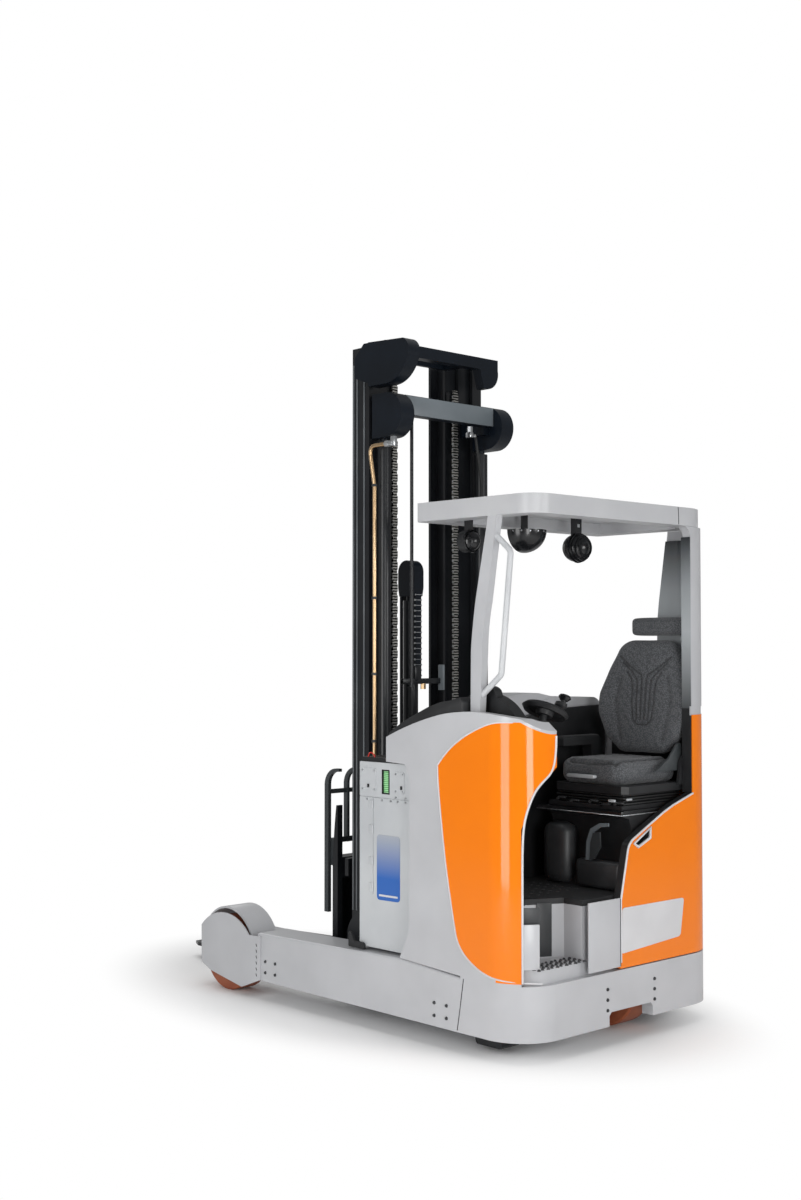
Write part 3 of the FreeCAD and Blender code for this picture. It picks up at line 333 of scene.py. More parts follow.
# %% Piece helpers
def slab(bm, centre, size, bevel=0.0, turn=None):
    """A block with softened edges, by its centre and size in millimetres."""
    made = bmesh.ops.create_cube(bm, size=1.0)["verts"]
    bmesh.ops.scale(bm, vec=[mm(s) for s in size], verts=made)
    if bevel:
        edges = list({edge for vert in made for edge in vert.link_edges})
        done = bmesh.ops.bevel(bm, geom=edges, offset=mm(bevel), segments=2, profile=0.5, affect="EDGES",
                               material=-1)
        made = list({v for face in done["faces"] for v in face.verts} | {v for v in made if v.is_valid})
    if turn is not None:
        bmesh.ops.rotate(bm, matrix=turn, verts=made)
    bmesh.ops.translate(bm, vec=at(*centre), verts=made)
    return made


def drum(bm, centre, axis, radius, length, sides=24, top=None):
    """A cylinder or a cone along an axis, by its centre, radius and length in millimetres."""
    made = bmesh.ops.create_cone(bm, cap_ends=True, segments=sides, radius1=mm(radius),
                                 radius2=mm(radius if top is None else top), depth=mm(length))["verts"]
    turn = Vector((0, 0, 1)).rotation_difference(Vector(axis)).to_matrix()
    bmesh.ops.rotate(bm, matrix=turn, verts=made)
    bmesh.ops.translate(bm, vec=at(*centre), verts=made)
    return made


def ball(bm, centre, radius):
    """A smooth ball, by its centre and radius in millimetres."""
    made = bmesh.ops.create_uvsphere(bm, u_segments=32, v_segments=20, radius=mm(radius))["verts"]
    bmesh.ops.translate(bm, vec=at(*centre), verts=made)
    return made


def settle(name, bm, material, body="chassis", smooth=35):
    """Makes a bmesh an object that rides on a body."""
    mesh = bpy.data.meshes.new(name)
    bm.to_mesh(mesh)
    bm.free()
    mesh.shade_smooth()
    mesh.set_sharp_from_angle(angle=math.radians(smooth))
    piece = bpy.data.objects.new(name, mesh)
    scene.collection.objects.link(piece)
    mesh.materials.append(material)
    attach(piece, body)
    print("piece:", name, "with", len(mesh.polygons), "faces, on", body)
    return piece


def line(name, points, radius, material, body="chassis", smooth=True, closed=False):
    """A round bead, hose or wire through stations."""
    curve = bpy.data.curves.new(name, "CURVE")
    curve.dimensions = "3D"
    spline = curve.splines.new("NURBS" if smooth else "POLY")
    spline.points.add(len(points) - 1)
    for point, place in zip(spline.points, points):
        point.co = (*at(*place), 1.0)
    if smooth:
        spline.order_u = 4
        spline.use_endpoint_u = not closed
    spline.use_cyclic_u = closed
    curve.bevel_depth = mm(radius)
    curve.bevel_resolution = 3
    curve.use_fill_caps = not closed
    piece = bpy.data.objects.new(name, curve)
    scene.collection.objects.link(piece)
    curve.materials.append(material)
    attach(piece, body)
    print("line:", name, "through", len(points), "stations, on", body)
    return piece

# %% [markdown]
# ## Seat
# A driver's seat is moulded foam under stitched cloth. The foam pushes the cloth out and the stitched
# channels pull it in. So each cushion is cut a little small, blown up with a cloth simulation, and then
# its channels are pressed in, as the upholsterer's thread does.

# %% Padding by cloth simulation
def plump(piece, cap_mm, voxel_mm, pressure=4.0):
    """Remeshes a piece evenly, inflates it as cloth, and keeps each point within a few millimetres."""
    bpy.context.view_layer.objects.active = piece
    remesh = piece.modifiers.new("even", "REMESH")
    remesh.mode = "VOXEL"
    remesh.voxel_size = mm(voxel_mm)
    bpy.ops.object.modifier_apply(modifier="even")
    start = [vert.co.copy() for vert in piece.data.vertices]
    cloth = piece.modifiers.new("padding", "CLOTH")
    cloth.settings.use_pressure = True
    cloth.settings.uniform_pressure_force = pressure
    cloth.settings.effector_weights.gravity = 0
    cloth.settings.quality = 4
    for step in range(1, 21):
        scene.frame_set(step)
    bpy.ops.object.modifier_apply(modifier="padding")
    for vert, was in zip(piece.data.vertices, start):
        moved = vert.co - was
        if moved.length > mm(cap_mm):
            vert.co = was + moved.normalized() * mm(cap_mm)
    scene.frame_set(1)


def gap(point, a, b, facing):
    """How far a point is from the line a to b, seen along a direction."""
    flat = [p - facing * p.dot(facing) for p in (point, a, b)]
    along = flat[2] - flat[1]
    share = max(0.0, min(1.0, (flat[0] - flat[1]).dot(along) / max(along.length_squared, 1e-9)))
    return (flat[0] - flat[1] - along * share).length


def press(piece, seams, depth_mm, width_mm, facing, shade=1.0):
    """Presses channels along polylines of stations into the side that faces a direction, and shades them."""
    reach = mm(width_mm)
    runs = [[at(*p) for p in seam] for seam in seams]
    seam = piece.data.attributes.get("seam") or piece.data.attributes.new("seam", "FLOAT", "POINT")
    for vert in piece.data.vertices:
        if vert.normal.dot(facing) < 0.25:
            continue
        near = min(gap(vert.co, a, b, facing) for run in runs for a, b in zip(run, run[1:]))
        if near < reach:
            pull = 0.5 + 0.5 * math.cos(math.pi * near / reach)
            vert.co -= facing * mm(depth_mm) * pull
            seam.data[vert.index].value = max(seam.data[vert.index].value, shade * pull ** 2)


def pad(name, outline, low, high, direction, edge, cap, cloth, voxel_mm=5.5):
    """A padded piece from an outline of stations, given a thickness in a direction and rounded."""
    bm = bmesh.new()
    verts = [bm.verts.new(at(*p)) for p in outline]
    face = bm.faces.new(verts)
    bmesh.ops.translate(bm, vec=Vector(direction) * mm(low), verts=verts)
    grown = bmesh.ops.extrude_face_region(bm, geom=[face])["geom"]
    top = [item for item in grown if isinstance(item, bmesh.types.BMVert)]
    bmesh.ops.translate(bm, vec=Vector(direction) * mm(high - low), verts=top)
    bmesh.ops.recalc_face_normals(bm, faces=bm.faces)
    bmesh.ops.bevel(bm, geom=list(bm.edges), offset=mm(edge), segments=4, profile=0.5, affect="EDGES",
                    material=-1)
    piece = settle(name, bm, cloth, smooth=80)
    plump(piece, cap, voxel_mm)
    piece.data.shade_smooth()
    return piece


def smooth_finish(piece):
    """Relaxes the pressed channels, then adds one level of subdivision, the same in view and render."""
    bm = bmesh.new()
    bm.from_mesh(piece.data)
    bmesh.ops.smooth_vert(bm, verts=bm.verts, factor=0.5, use_axis_x=True, use_axis_y=True, use_axis_z=True)
    bm.to_mesh(piece.data)
    bm.free()
    rounder = piece.modifiers.new("rounder", "SUBSURF")
    rounder.levels = rounder.render_levels = 1

# %% [markdown]
# The cushion is a rectangle with cut front corners, a little smaller than its node, because padding
# will push it out. Four ribs run along its middle, and a deeper seam parts them from the bolsters at the
# sides and in front.

# %% Cushion
low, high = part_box("seat_cushion")
mid_x = ((low[0] + high[0]) / 2 - REAR_FACE) * 1000
front_y, rear_y = high[1] * 1000, low[1] * 1000
seat_base, seat_crown = low[2] * 1000, high[2] * 1000
half = (high[0] - low[0]) * 500
outline = [
    (mid_x - half + 38, rear_y + 8, seat_base), (mid_x + half - 8, rear_y + 8, seat_base),
    (mid_x + half - 8, front_y - 60, seat_base), (mid_x + half - 50, front_y - 12, seat_base),
    (mid_x - half + 74, front_y - 12, seat_base), (mid_x - half + 38, front_y - 60, seat_base),
]
cushion = pad("seat_cushion_pad", outline, 4, seat_crown - seat_base - 12, (0, 0, 1), 26, 10, seat_cloth)
up = Vector((0, 0, 1))
ribs = [[(mid_x + side * across, rear_y + 60, 0), (mid_x + side * across, front_y - 70, 0)]
        for side in (-1, 1) for across in (24, 72)]
bolster = [[(mid_x + side * 122, rear_y + 30, 0), (mid_x + side * 122, front_y - 40, 0),
            (mid_x, front_y - 34, 0)] for side in (-1, 1)]
press(cushion, ribs, 7, 12, up)
press(cushion, bolster, 12, 15, up)
smooth_finish(cushion)
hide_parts("seat_cushion")

# %% [markdown]
# The backrest is shield-shaped, leans back and swivels a few degrees toward the way out. Seams run down
# from the shoulders, meet in the middle, and go on as a fan of upright ribs for the small of the back.

# %% Backrest
low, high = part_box("seat_backrest")
back_x = ((low[0] + high[0]) / 2 - REAR_FACE) * 1000
back_low, back_high = low[2] * 1000, high[2] * 1000
pivot_y = -446


def lean(z):
    """How far back the backrest's middle plane is at a height."""
    share = (z - back_low) / (back_high - back_low)
    return pivot_y - 28 * share - 42 * share ** 2


shield = [
    (116, back_low + 4), (190, 1206), (232, 1320), (232, 1400), (192, 1520), (146, 1622),
    (104, back_high - 6),
]
outline = [(back_x + x, 0, z) for x, z in shield] + [(back_x - x, 0, z) for x, z in reversed(shield)]
back = pad("seat_backrest_pad", outline, -30, 32, (0, 1, 0), 22, 8, seat_cloth)
for vert in back.data.vertices:
    station_z = vert.co.z * 1000
    side = abs((vert.co.x - REAR_FACE) * 1000 - back_x)
    vert.co.y += mm(lean(station_z)) + mm(24) * max(0.0, (side - 120) / 110) ** 2
ahead = Vector((0, 1, 0))
fan = []
for side in (-1, 1):
    for run in ([(127, 1567), (70, 1521), (15, 1486), (11, 1460), (11, 1380), (9, 1290)],
                [(112, 1540), (62, 1498), (37, 1468), (33, 1440), (33, 1370), (28, 1288)],
                [(86, 1498), (64, 1468), (56, 1430), (55, 1360), (46, 1292)]):
        fan.append([(back_x + side * x, 0, z) for x, z in run])
fan.append([(back_x + x, 0, z) for x, z in ((-46, 1292), (-26, 1268), (26, 1268), (46, 1292))])
sides = [[(back_x + side * 118, 0, 1470), (back_x + side * 138, 0, 1370), (back_x + side * 104, 0, 1200)]
         for side in (-1, 1)]
press(back, fan, 9, 10, ahead)
press(back, sides, 7, 20, ahead, shade=0.35)
smooth_finish(back)
pivot = Matrix.Translation(at(back_x, pivot_y, 0))
back.data.transform(pivot @ Matrix.Rotation(math.radians(8), 4, "Z") @ pivot.inverted())
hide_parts("seat_backrest")

# %% [markdown]
# The headrest is a low soft block behind the backrest's top edge, padded in the same way.

# %% Headrest
low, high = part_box("headrest")
head_x0, head_x1 = ((low[0] - REAR_FACE) * 1000, (high[0] - REAR_FACE) * 1000)
outline = [(head_x0 - 66, -500, 1662), (head_x1 - 6, -500, 1662), (head_x1 - 6, -500, 1740),
           (head_x0 - 66, -500, 1740)]
head_pad = pad("headrest_pad", outline, -58, 2, (0, 1, 0), 18, 6, seat_cloth)
smooth_finish(head_pad)
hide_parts("headrest")
print("seat pads:", len(cushion.data.vertices), len(back.data.vertices), len(head_pad.data.vertices))

# %% [markdown]
# ## Rims round the orange fields
# The orange panels sit in a rim of light-grey edging, a round bead a little under a centimetre wide.
# It follows each field's outline, so a bead is laid along stations on the panel. The side wall turns
# round the rear corner on an arc, and one function gives the wall's place there.

# %% Rims
wall_y = 635
corner = 188


def on_corner(x):
    """The side wall's half width at a station, where it turns round the rear corner."""
    if x >= corner:
        return wall_y
    return wall_y - corner + math.sqrt(max(corner ** 2 - (corner - x) ** 2, 0))


def outside(points, sign=1, lift=1):
    """Stations (x, z) on a side wall as points just outside it."""
    return [(x, sign * (on_corner(x) + lift), z) for x, z in points]


field = [(466, 1132), (463, 1080), (460, 1034), (442, 895), (423, 757), (404, 660), (384, 562),
         (370, 499), (356, 436), (310, 385), (250, 350), (200, 332), (150, 322), (100, 318), (50, 314),
         (12, 310)]
crest = [(466, 1132), (420, 1184), (365, 1226), (300, 1262), (228, 1293), (160, 1314), (110, 1316),
         (60, 1314), (14, 1288)]
line("left_field_rim", outside(field), 3.5, trim_paint)
line("left_crest_rim", outside(crest), 3.5, trim_paint)
entry = [(-2, 445, 1262), (-2, 445, 1138), (-2, 496, 1098), (-2, 540, 1057), (-2, 566, 980), (-2, 581, 903),
         (-2, 581, 700), (-2, 581, 500), (-2, 581, 312)]
line("entry_rim", [(x + corner - math.sqrt(max(corner ** 2 - (y - wall_y + corner) ** 2, 0)), y, z)
                   for x, y, z in entry], 4.5, trim_paint)
rear_edge = [(-2, 52, 330), (-2, 52, 580), (-2, 5, 782), (-2, -5, 801), (-2, -22, 817), (-2, -90, 850),
             (-2, -159, 882), (-2, -232, 916), (-2, -300, 942), (-2, -439, 983)]
line("rear_panel_rim", rear_edge, 4.5, trim_paint, smooth=False)
hole = [(-36, 803), (-144, 860), (-141, 817), (-63, 787)]
line("hand_hole_rim", [(-2, y, z) for y, z in hole], 6.5, trim_paint, smooth=False, closed=True)
for ring in range(4):
    line(f"hand_hole_liner_{ring}", [(7 + 6 * ring, y, z) for y, z in hole], 5, black_plastic,
         smooth=False, closed=True)

# %% [markdown]
# ## Plates
# Blank nameplates: a pressed one on the rear panel, and a tall rounded one on the battery that fades
# from blue to grey and has a pale stripe near its foot. Each is a thin sheet with rounded corners.

# %% Plates
def plate(name, corners, thick, direction, radius, material):
    """A thin rounded sheet, from its corner stations, thickened in a direction."""
    bm = bmesh.new()
    face = bm.faces.new([bm.verts.new(at(*corner)) for corner in corners])
    bmesh.ops.bevel(bm, geom=list(face.verts), offset=mm(radius), segments=4, profile=0.5, affect="VERTICES",
                    material=-1)
    grown = bmesh.ops.extrude_face_region(bm, geom=list(bm.faces))["geom"]
    bmesh.ops.translate(bm, vec=Vector(direction) * mm(thick),
                        verts=[item for item in grown if isinstance(item, bmesh.types.BMVert)])
    bmesh.ops.recalc_face_normals(bm, faces=bm.faces)
    settle(name, bm, material)


plate("rear_blank_plate", [(0, 42, 548), (0, -372, 546), (0, -346, 388), (0, 50, 364)], 2, (-1, 0, 0), 14,
      trim_paint)
battery_face = 590
plate("battery_blue_plate",
      [(x, battery_face, z) for x, z in ((878, 540), (735, 543), (735, plate_high), (878, plate_high))], 1.5,
      (0, 1, 0), 16, blue_plate)
plate("battery_plate_stripe",
      [(x, battery_face + 1.5, z) for x, z in ((864, 556), (748, 558), (748, 566), (864, 564))], 0.4,
      (0, 1, 0), 2, trim_paint)

# %% [markdown]
# ## Battery
# The battery's side has two screwed access flaps, a charge gauge between them, the hinges of a door,
# and a lock at its foot. The gauge is a stack of lit segments in a black frame. Two short red loops
# stand on its top edge.

# %% Battery details
for name, x0, x1, z0, z1 in (("left_flap", 883, 978, 994, 1094), ("right_flap", 708, 770, 994, 1086)):
    plate(f"battery_{name}", [(x0, battery_face, z0), (x1, battery_face, z0), (x1, battery_face, z1),
                              (x0, battery_face, z1)], 2.5, (0, 1, 0), 10, battery_paint)
bm = bmesh.new()
slab(bm, (824, 584, 1039), (36, 4, 92), 2)
settle("charge_gauge", bm, gauge_green)
bm = bmesh.new()
for x in (803, 845):
    slab(bm, (x, 588, 1039), (6, 7, 104), 1)
for z in (990, 1088):
    slab(bm, (824, 588, z), (48, 7, 5), 1)
settle("gauge_frame", bm, gloss_plastic)
bm = bmesh.new()
screws = [(x, z) for x in (893, 968) for z in (1084, 1004)]
screws += [(x, z) for x in (718, 760) for z in (1076, 1004)]
screws += [(x, 961) for x in (700, 748, 790, 845, 940)]
screws += [(x, 978) for x in (700, 760)]
for x, z in screws:
    drum(bm, (x, battery_face + 2.5, z), (0, 1, 0), 4, 4, 8)
settle("battery_screws", bm, bright_steel)
bm = bmesh.new()
for z in (940, 836, 700, 590):
    slab(bm, (914, battery_face + 2, z), (20, 5, 34), 1)
    drum(bm, (903, battery_face + 4, z), (0, 0, 1), 4, 36, 10)
settle("battery_hinges", bm, battery_paint)
bm = bmesh.new()
for x, z in ((930, 1018), (724, 1020)):
    slab(bm, (x, battery_face + 4, z), (9, 6, 16), 1.5)
settle("flap_catches", bm, gloss_plastic)
lock = [(1046, 322), (940, 322), (952, 350), (1010, 350), (1030, 386), (1046, 386)]
plate("battery_lock", [(x, battery_face + 6, z) for x, z in lock], 9, (0, 1, 0), 5, black_plastic)
long_pull = [(950, 576, 1138), (944, 578, 1156), (928, 580, 1160), (912, 578, 1154), (906, 576, 1138)]
short_pull = [(738, 576, 1138), (732, 578, 1152), (722, 578, 1154), (716, 576, 1138)]
line("battery_pull", long_pull, 3, red_plastic)
line("battery_pull_short", short_pull, 2.5, red_plastic)

# %% [markdown]
# ## Bolts, seams and slots
# Bolted joints are what make a welded frame readable: the legs are bolted to the chassis and to the
# load wheels' covers in fours, the rear plate in two columns. Each head is a hexagon that narrows a
# little toward its top. Seams are thin dark lines where two plates meet.

# %% Bolts and seams
bm = bmesh.new()
leg_bolts = [(1584, 180), (1513, 180), (1584, 130), (1513, 130), (485, 179), (415, 178), (485, 128),
             (415, 128)]
for x, z in leg_bolts:
    for side in (-1, 1):
        drum(bm, (x, side * 637, z), (0, side, 0), 8, 6, 6, top=6.5)
for y in (137, -167):
    for z in (234, 192, 150):
        drum(bm, (-2, y, z), (-1, 0, 0), 8, 6, 6, top=6.5)
settle("frame_bolts", bm, hub_iron)
for side, name in ((1, "left"), (-1, "right")):
    line(f"{name}_leg_seam", [(x, side * wall_y, z) for x, z in ((320, 299), (332, 220), (355, 92))], 1.8,
         mast_paint)
bm = bmesh.new()
tilt = Matrix.Rotation(math.radians(24), 3, "Y")
for side in (-1, 1):
    for row in range(6):
        slab(bm, (1642, side * 643, 112 + 27 * row), (5, 1.6, 14), 0.5, turn=tilt)
settle("cover_slots", bm, hub_iron)
line("roof_seam", [(-20.5, -322, 2204), (-20.5, -326, 2168), (-20.5, -326, 2131)], 1.6, hub_iron)

# %% [markdown]
# ## Cabin linings
# Inside the painted corner a smooth dark lining runs from the seat up to the guard. It follows the
# corner's inner radius, and its free edge leans with the pillar. Each lining is built as level rows of
# points, bridged row to row, and then given the sheet's thickness.

# %% Linings
def lining(name, edge, low, high, material, radius=142):
    """A curved sheet round the rear right corner. edge gives its front station at a height."""
    bm = bmesh.new()
    middle = (corner, corner - wall_y)
    steps = 10
    rows = 8
    last = None
    for row in range(rows + 1):
        z = low + (high - low) * row / rows
        ring = [(1, -434.5)]
        for step in range(steps + 1):
            turn = math.radians(-4 + 94 * step / steps)
            ring.append((middle[0] - radius * math.cos(turn), middle[1] - radius * math.sin(turn)))
        ring.append((edge(z), middle[1] - radius))
        line_now = [bm.verts.new(at(x, y, z)) for x, y in ring]
        rung = [bm.edges.new(pair) for pair in zip(line_now, line_now[1:])]
        if last:
            bmesh.ops.bridge_loops(bm, edges=last + rung)
        last = rung
    bmesh.ops.recalc_face_normals(bm, faces=bm.faces)
    bmesh.ops.solidify(bm, geom=list(bm.faces), thickness=mm(3))
    return settle(name, bm, material, smooth=50)


# the upper lining wears the smoked panel's painted reflection
lining("upper_lining", lambda z: 296 - 56 * max(0, (z - 1738) / 400), lining_low, lining_high, smoked_panel_painted_reflection)
lining("lower_lining", lambda z: 560, 986, lining_low, black_plastic)
lining("pillar_foot", lambda z: 300, 1316, 1355, light_grey_paint, radius=185)

# %% [markdown]
# Under the seat the knee side is clad in soft grey plastic: an upright bulge, a rounded box beside it,
# and a pocket with a paler lip. The step's well has two painted posts, one of them turned to follow the
# corner, and dark sheets. The rear panel's free edge is lined, so that no orange shows edge on.

# %% Knee cladding and step well
bm = bmesh.new()
slab(bm, (415, -58, 728), (150, 96, 264), 42)
slab(bm, (171, -32, 660), (244, 56, 118), 20)
settle("knee_cladding", bm, soft_plastic, smooth=60)
pocket_lip = [(234, 716), (229, 795), (208, 848), (160, 874), (112, 878), (112, 864), (154, 858), (190, 836),
              (206, 792), (210, 716)]
pocket_wall = [(211, 717), (206, 790), (192, 832), (156, 838), (152, 776), (186, 724)]
for name, outline, y, material in (("pocket_lip", pocket_lip, -16, yoke_paint),
                                   ("pocket_wall", pocket_wall, -14, carrier_paint)):
    plate(name, [(x, y, z) for x, z in outline], 8, (0, 1, 0), 0.6, material)
corner_turn = Matrix.Rotation(math.radians(-34.4), 3, "Z")
bm = bmesh.new()
slab(bm, (38, 551, 451), (8, 68, 174), 2, turn=corner_turn)
slab(bm, (1, 154, 452), (8, 198, 277), 2)
settle("step_posts", bm, light_grey_paint)
line("step_seam", [(-3.5, 56, 316), (-3.5, 56, 588)], 1.6, hub_iron, smooth=False)
bm = bmesh.new()
slab(bm, (167, 330, 474), (4, 66, 214), 1, turn=Matrix.Rotation(math.radians(-26), 3, "Z"))
slab(bm, (50, 549, 568), (6, 84, 64), 1, turn=corner_turn)
settle("step_dark_sheets", bm, soft_plastic)
edge = [(57, 576), (8, 782), (3, 797), (-7, 810), (-22, 820), (-159, 884), (-300, 944), (-437, 985)]
for number, ((y0, z0), (y1, z1)) in enumerate(zip(edge, edge[1:])):
    outward = Vector((0, z1 - z0, y0 - y1)).normalized()
    plate(f"panel_edge_lining_{number}", [(0, y0, z0), (31, y0, z0), (31, y1, z1), (0, y1, z1)], 2, outward,
          0.5, black_plastic)

# %% [markdown]
# ## Seat fittings
# Under the cushion sit the suspension's folds, levers and slides, in black and light plastic. The
# bellows is a stack of rounded folds. A black shelf carries it all, and a bright steel line along its
# front edge is a painted highlight.

# %% Seat fittings
bm = bmesh.new()
for fold in range(4):
    slab(bm, (258, -262, 954 + 12 * fold), (372 - 10 * (fold % 2), 400 - 10 * (fold % 2), 9), 4)
settle("seat_bellows", bm, hose_rubber)
bm = bmesh.new()
slab(bm, (286, -46, 1062), (150, 26, 15), 6)
slab(bm, (120, -44, 968), (34, 14, 12), 4)
slab(bm, (66, -90, 974), (10, 34, 9), 3)
settle("seat_levers", bm, lever_paint)
bm = bmesh.new()
for x, z in ((90, 960), (160, 950), (226, 962), (330, 956), (404, 964)):
    slab(bm, (x, -56, z), (42, 12, 8), 2)
    drum(bm, (x + 18, -50, z - 6), (0, 1, 0), 6, 8, 12)
settle("suspension_slides", bm, hub_iron)
bm = bmesh.new()
slab(bm, (284, -232, 919), (468, 424, 22), 7)
settle("seat_shelf", bm, gloss_plastic)
# painted highlight: a bright line along the shelf's rounded front edge
line("shelf_edge_highlight", [(516, -19, 912), (52, -19, 912), (49, -26, 912), (49, -430, 912)], 2.6, bright_steel,
     smooth=False)
bm = bmesh.new()
slab(bm, (49, -452, 1306), (12, 22, 22), 5)
settle("belt_button", bm, trim_paint)

# %% [markdown]
# ## Step and floor
# The step's tread is a punched grating: rows of small raised teeth bite into a boot's sole. They stop
# short of the well's inner wall, which is deepest in the middle. The rubber mat has round studs.

# %% Step teeth and mat studs
bm = bmesh.new()
tooth_step_x, tooth_step_y = 26, 27
for row in range(4):
    for column in range(11):
        y = 264 + tooth_step_y * column
        x = 12 + tooth_step_x * row + 6 * (column % 2)
        inner = 130 + 75 * min(1, (y - 251) / 154) if y < 405 else 205 - 75 * min(1, (y - 405) / 155)
        if x < inner - 12:
            drum(bm, (x, y, 364), (0, 0, 1), 8, 7, 6, top=4.5)
settle("step_teeth", bm, hub_iron)
bm = bmesh.new()
stud_step_x, stud_step_y = 40, 60
for row in range(9):
    for column in range(7):
        drum(bm, (250 + stud_step_x * row, 30 + stud_step_y * column, 598.6), (0, 0, 1), 11, 2.4, 8, top=8)
settle("mat_studs", bm, mat_rubber)

# %% [markdown]
# ## Hood tops
# A black moulding sits on the left cover's crest, from the battery back to the guard's pillar, and a
# rounded light-grey crown closes the hood in front of the driver's feet.

# %% Hood tops
def loaf(name, outline, direction, depth, edge, material):
    """A closed outline of stations, given a depth in a direction, with softened edges."""
    bm = bmesh.new()
    face = bm.faces.new([bm.verts.new(at(*point)) for point in outline])
    grown = bmesh.ops.extrude_face_region(bm, geom=[face])["geom"]
    bmesh.ops.translate(bm, vec=Vector(direction) * mm(depth),
                        verts=[item for item in grown if isinstance(item, bmesh.types.BMVert)])
    bmesh.ops.recalc_face_normals(bm, faces=bm.faces)
    bmesh.ops.bevel(bm, geom=list(bm.edges), offset=mm(edge), segments=2, profile=0.5, affect="EDGES",
                    material=-1)
    return settle(name, bm, material, smooth=40)


crest_top = [(776, 1238), (756, 1256), (700, 1289), (640, 1318), (537, 1362), (470, 1383), (404, 1394),
             (350, 1408), (334, 1390), (332, 1340), (451, 1326), (540, 1310), (619, 1281), (700, 1256)]
loaf("hood_moulding", [(x, 628, z) for x, z in crest_top], (0, -1, 0), 180, 3, black_plastic)
crown = [(150, 1342), (104, 1371), (40, 1390), (-55, 1406), (-171, 1404), (-270, 1386), (-345, 1352),
         (-345, 1290), (150, 1290)]
loaf("hood_crown", [(634, y, z) for y, z in crown], (1, 0, 0), 130, 8, light_grey_paint)

# %% [markdown]
# Between cushion and backrest a dark moulded shell covers the hinge that lets the seat lean back.

# %% Recliner cover
shell = [(-250, 1078), (-452, 1078), (-456, 1170), (-441, 1197), (-420, 1192), (-360, 1132), (-290, 1092)]
loaf("recliner_cover", [(62, y, z) for y, z in shell], (1, 0, 0), 14, 4, carrier_paint)

# %% [markdown]
# ## Lamps and mirror
# The ball lamp has a ribbed half and a smooth half on a bright swivel. The round lamp is a ball with a
# rim, and the mirror's bowl is a quarter of a ball, cut by two planes, with a row of small screws.

# %% Lamps and mirror
lamp_x, lamp_y, lamp_z = 392, -142, 2042
rib_reach = 67
bm = bmesh.new()
ball(bm, (lamp_x, lamp_y, lamp_z), 60.8)
settle("lamp_shell", bm, gloss_plastic, smooth=60)
bm = bmesh.new()
for rib in range(4):
    off = 8 + 14 * rib
    drum(bm, (lamp_x - off, lamp_y, lamp_z), (1, 0, 0), math.sqrt(rib_reach ** 2 - off ** 2), 4, 32)
settle("lamp_ribs", bm, gloss_plastic)
bm = bmesh.new()
slab(bm, (lamp_x, lamp_y, lamp_z + 70), (26, 18, 40), 4)
drum(bm, (lamp_x, lamp_y, lamp_z + 96), (0, 0, 1), 16, 14, 20)
settle("lamp_swivel", bm, bright_steel)
bm = bmesh.new()
ball(bm, (500, 412, 2050), 45)
drum(bm, (486, 412, 2050), (-1, 0, 0), 49, 8, 36, top=47)
settle("round_lamp_shell", bm, gloss_plastic, smooth=40)
bowl_x, bowl_y, bowl_z = 470, 110, 2110
bm = bmesh.new()
ball(bm, (bowl_x, bowl_y, bowl_z), 97.5)
for normal, place in (((0, 0, 1), (bowl_x, bowl_y, bowl_z)), ((1, 0, 0), (bowl_x + 9, bowl_y, bowl_z))):
    whole = bm.verts[:] + bm.edges[:] + bm.faces[:]
    bmesh.ops.bisect_plane(bm, geom=whole, plane_co=at(*place), plane_no=normal, clear_outer=True)
bmesh.ops.holes_fill(bm, edges=bm.edges, sides=0)
settle("mirror_bowl", bm, gloss_plastic, smooth=60)
bm = bmesh.new()
for screw in range(8):
    turn = math.radians(-78 + 22 * screw)
    inward = Vector((math.cos(turn), -math.sin(turn), 0))
    drum(bm, (bowl_x - 97 * inward.x, bowl_y - 97 * inward.y, bowl_z - 8), inward, 3.5, 4, 10)
settle("mirror_screws", bm, bright_steel)

# %% [markdown]
# A mushroom knob stands on the steering wheel's rim, for turning with one hand. It is three drums along
# the wheel's tilted axis, and it rides on the wheel, so it goes round with it.

# %% Steering knob
bm = bmesh.new()
wheel_tilt = math.radians(25)
tilted = Vector((0, -math.sin(wheel_tilt), math.cos(wheel_tilt)))
rim = Vector((190, 214, 1311))
for along, low, high, tall in ((74, 9, 12, 24), (92, 17, 27, 14), (103, 27, 22, 9)):
    drum(bm, tuple(rim + tilted * along), tilted, low, tall, 28, top=high)
settle("steering_knob", bm, gloss_plastic, "steering_wheel", smooth=50)

# %% [markdown]
# ## Mast
# Leaf chain is stacked plates on pins. The stacked plates are the engineering model's. Here the pins
# are added, a bright end at every pitch of one inch, and they ride with the chain's own stage.

# %% Chain pins
def chain_pins(name, x, y, length, low, high, body):
    """Pins through a hanging chain, from one height to another."""
    bm = bmesh.new()
    for pin in range(int((high - low) / CHAIN_PITCH)):
        drum(bm, (x, y, low + CHAIN_PITCH * (pin + 0.27)), (0, 1, 0), 4.6, length, 8)
    settle(name, bm, bright_steel, body)


for side, name in ((1, "left"), (-1, "right")):
    chain_pins(f"{name}_chain_pins", 1194, side * 198, 36, 1100, 2830, "mast_middle")
chain_pins("free_lift_pins_rear", 1244, 0, 44, 1470, 1940, "free_lift")

# %% [markdown]
# The lift yoke's bar is a grey pressing between two blue-black pulley housings. They are one node, so
# the bar's own paint goes on a thin face that lies on the bar.

# %% Yoke bar
bm = bmesh.new()
slab(bm, (1024, 0, 2699), (5, 566, 86), 2)
settle("yoke_bar_face", bm, yoke_paint, "mast_middle")

# %% [markdown]
# Rolled mast rails keep raised edges along their web. Thin light lines down the whole rail are painted
# there as highlights, where the edges would catch the light. Each is a long narrow bar with rounded edges.

# %% Rail edges
bm = bmesh.new()
for side in (-1, 1):
    for x in (1286, 1262, 1214):
        slab(bm, (x, side * 366.5, 1660), (8, 4, 2480), 1.6)
settle("rail_edge_highlights", bm, rail_edge_highlight_paint, "mast_base")

# %% [markdown]
# Hydraulic tube is clamped to the mast in dark collars and ends in hexagon unions. A short hose runs
# down from the yoke's banjo fitting, and the inner mast carries a bracket with a shield for its hoses.

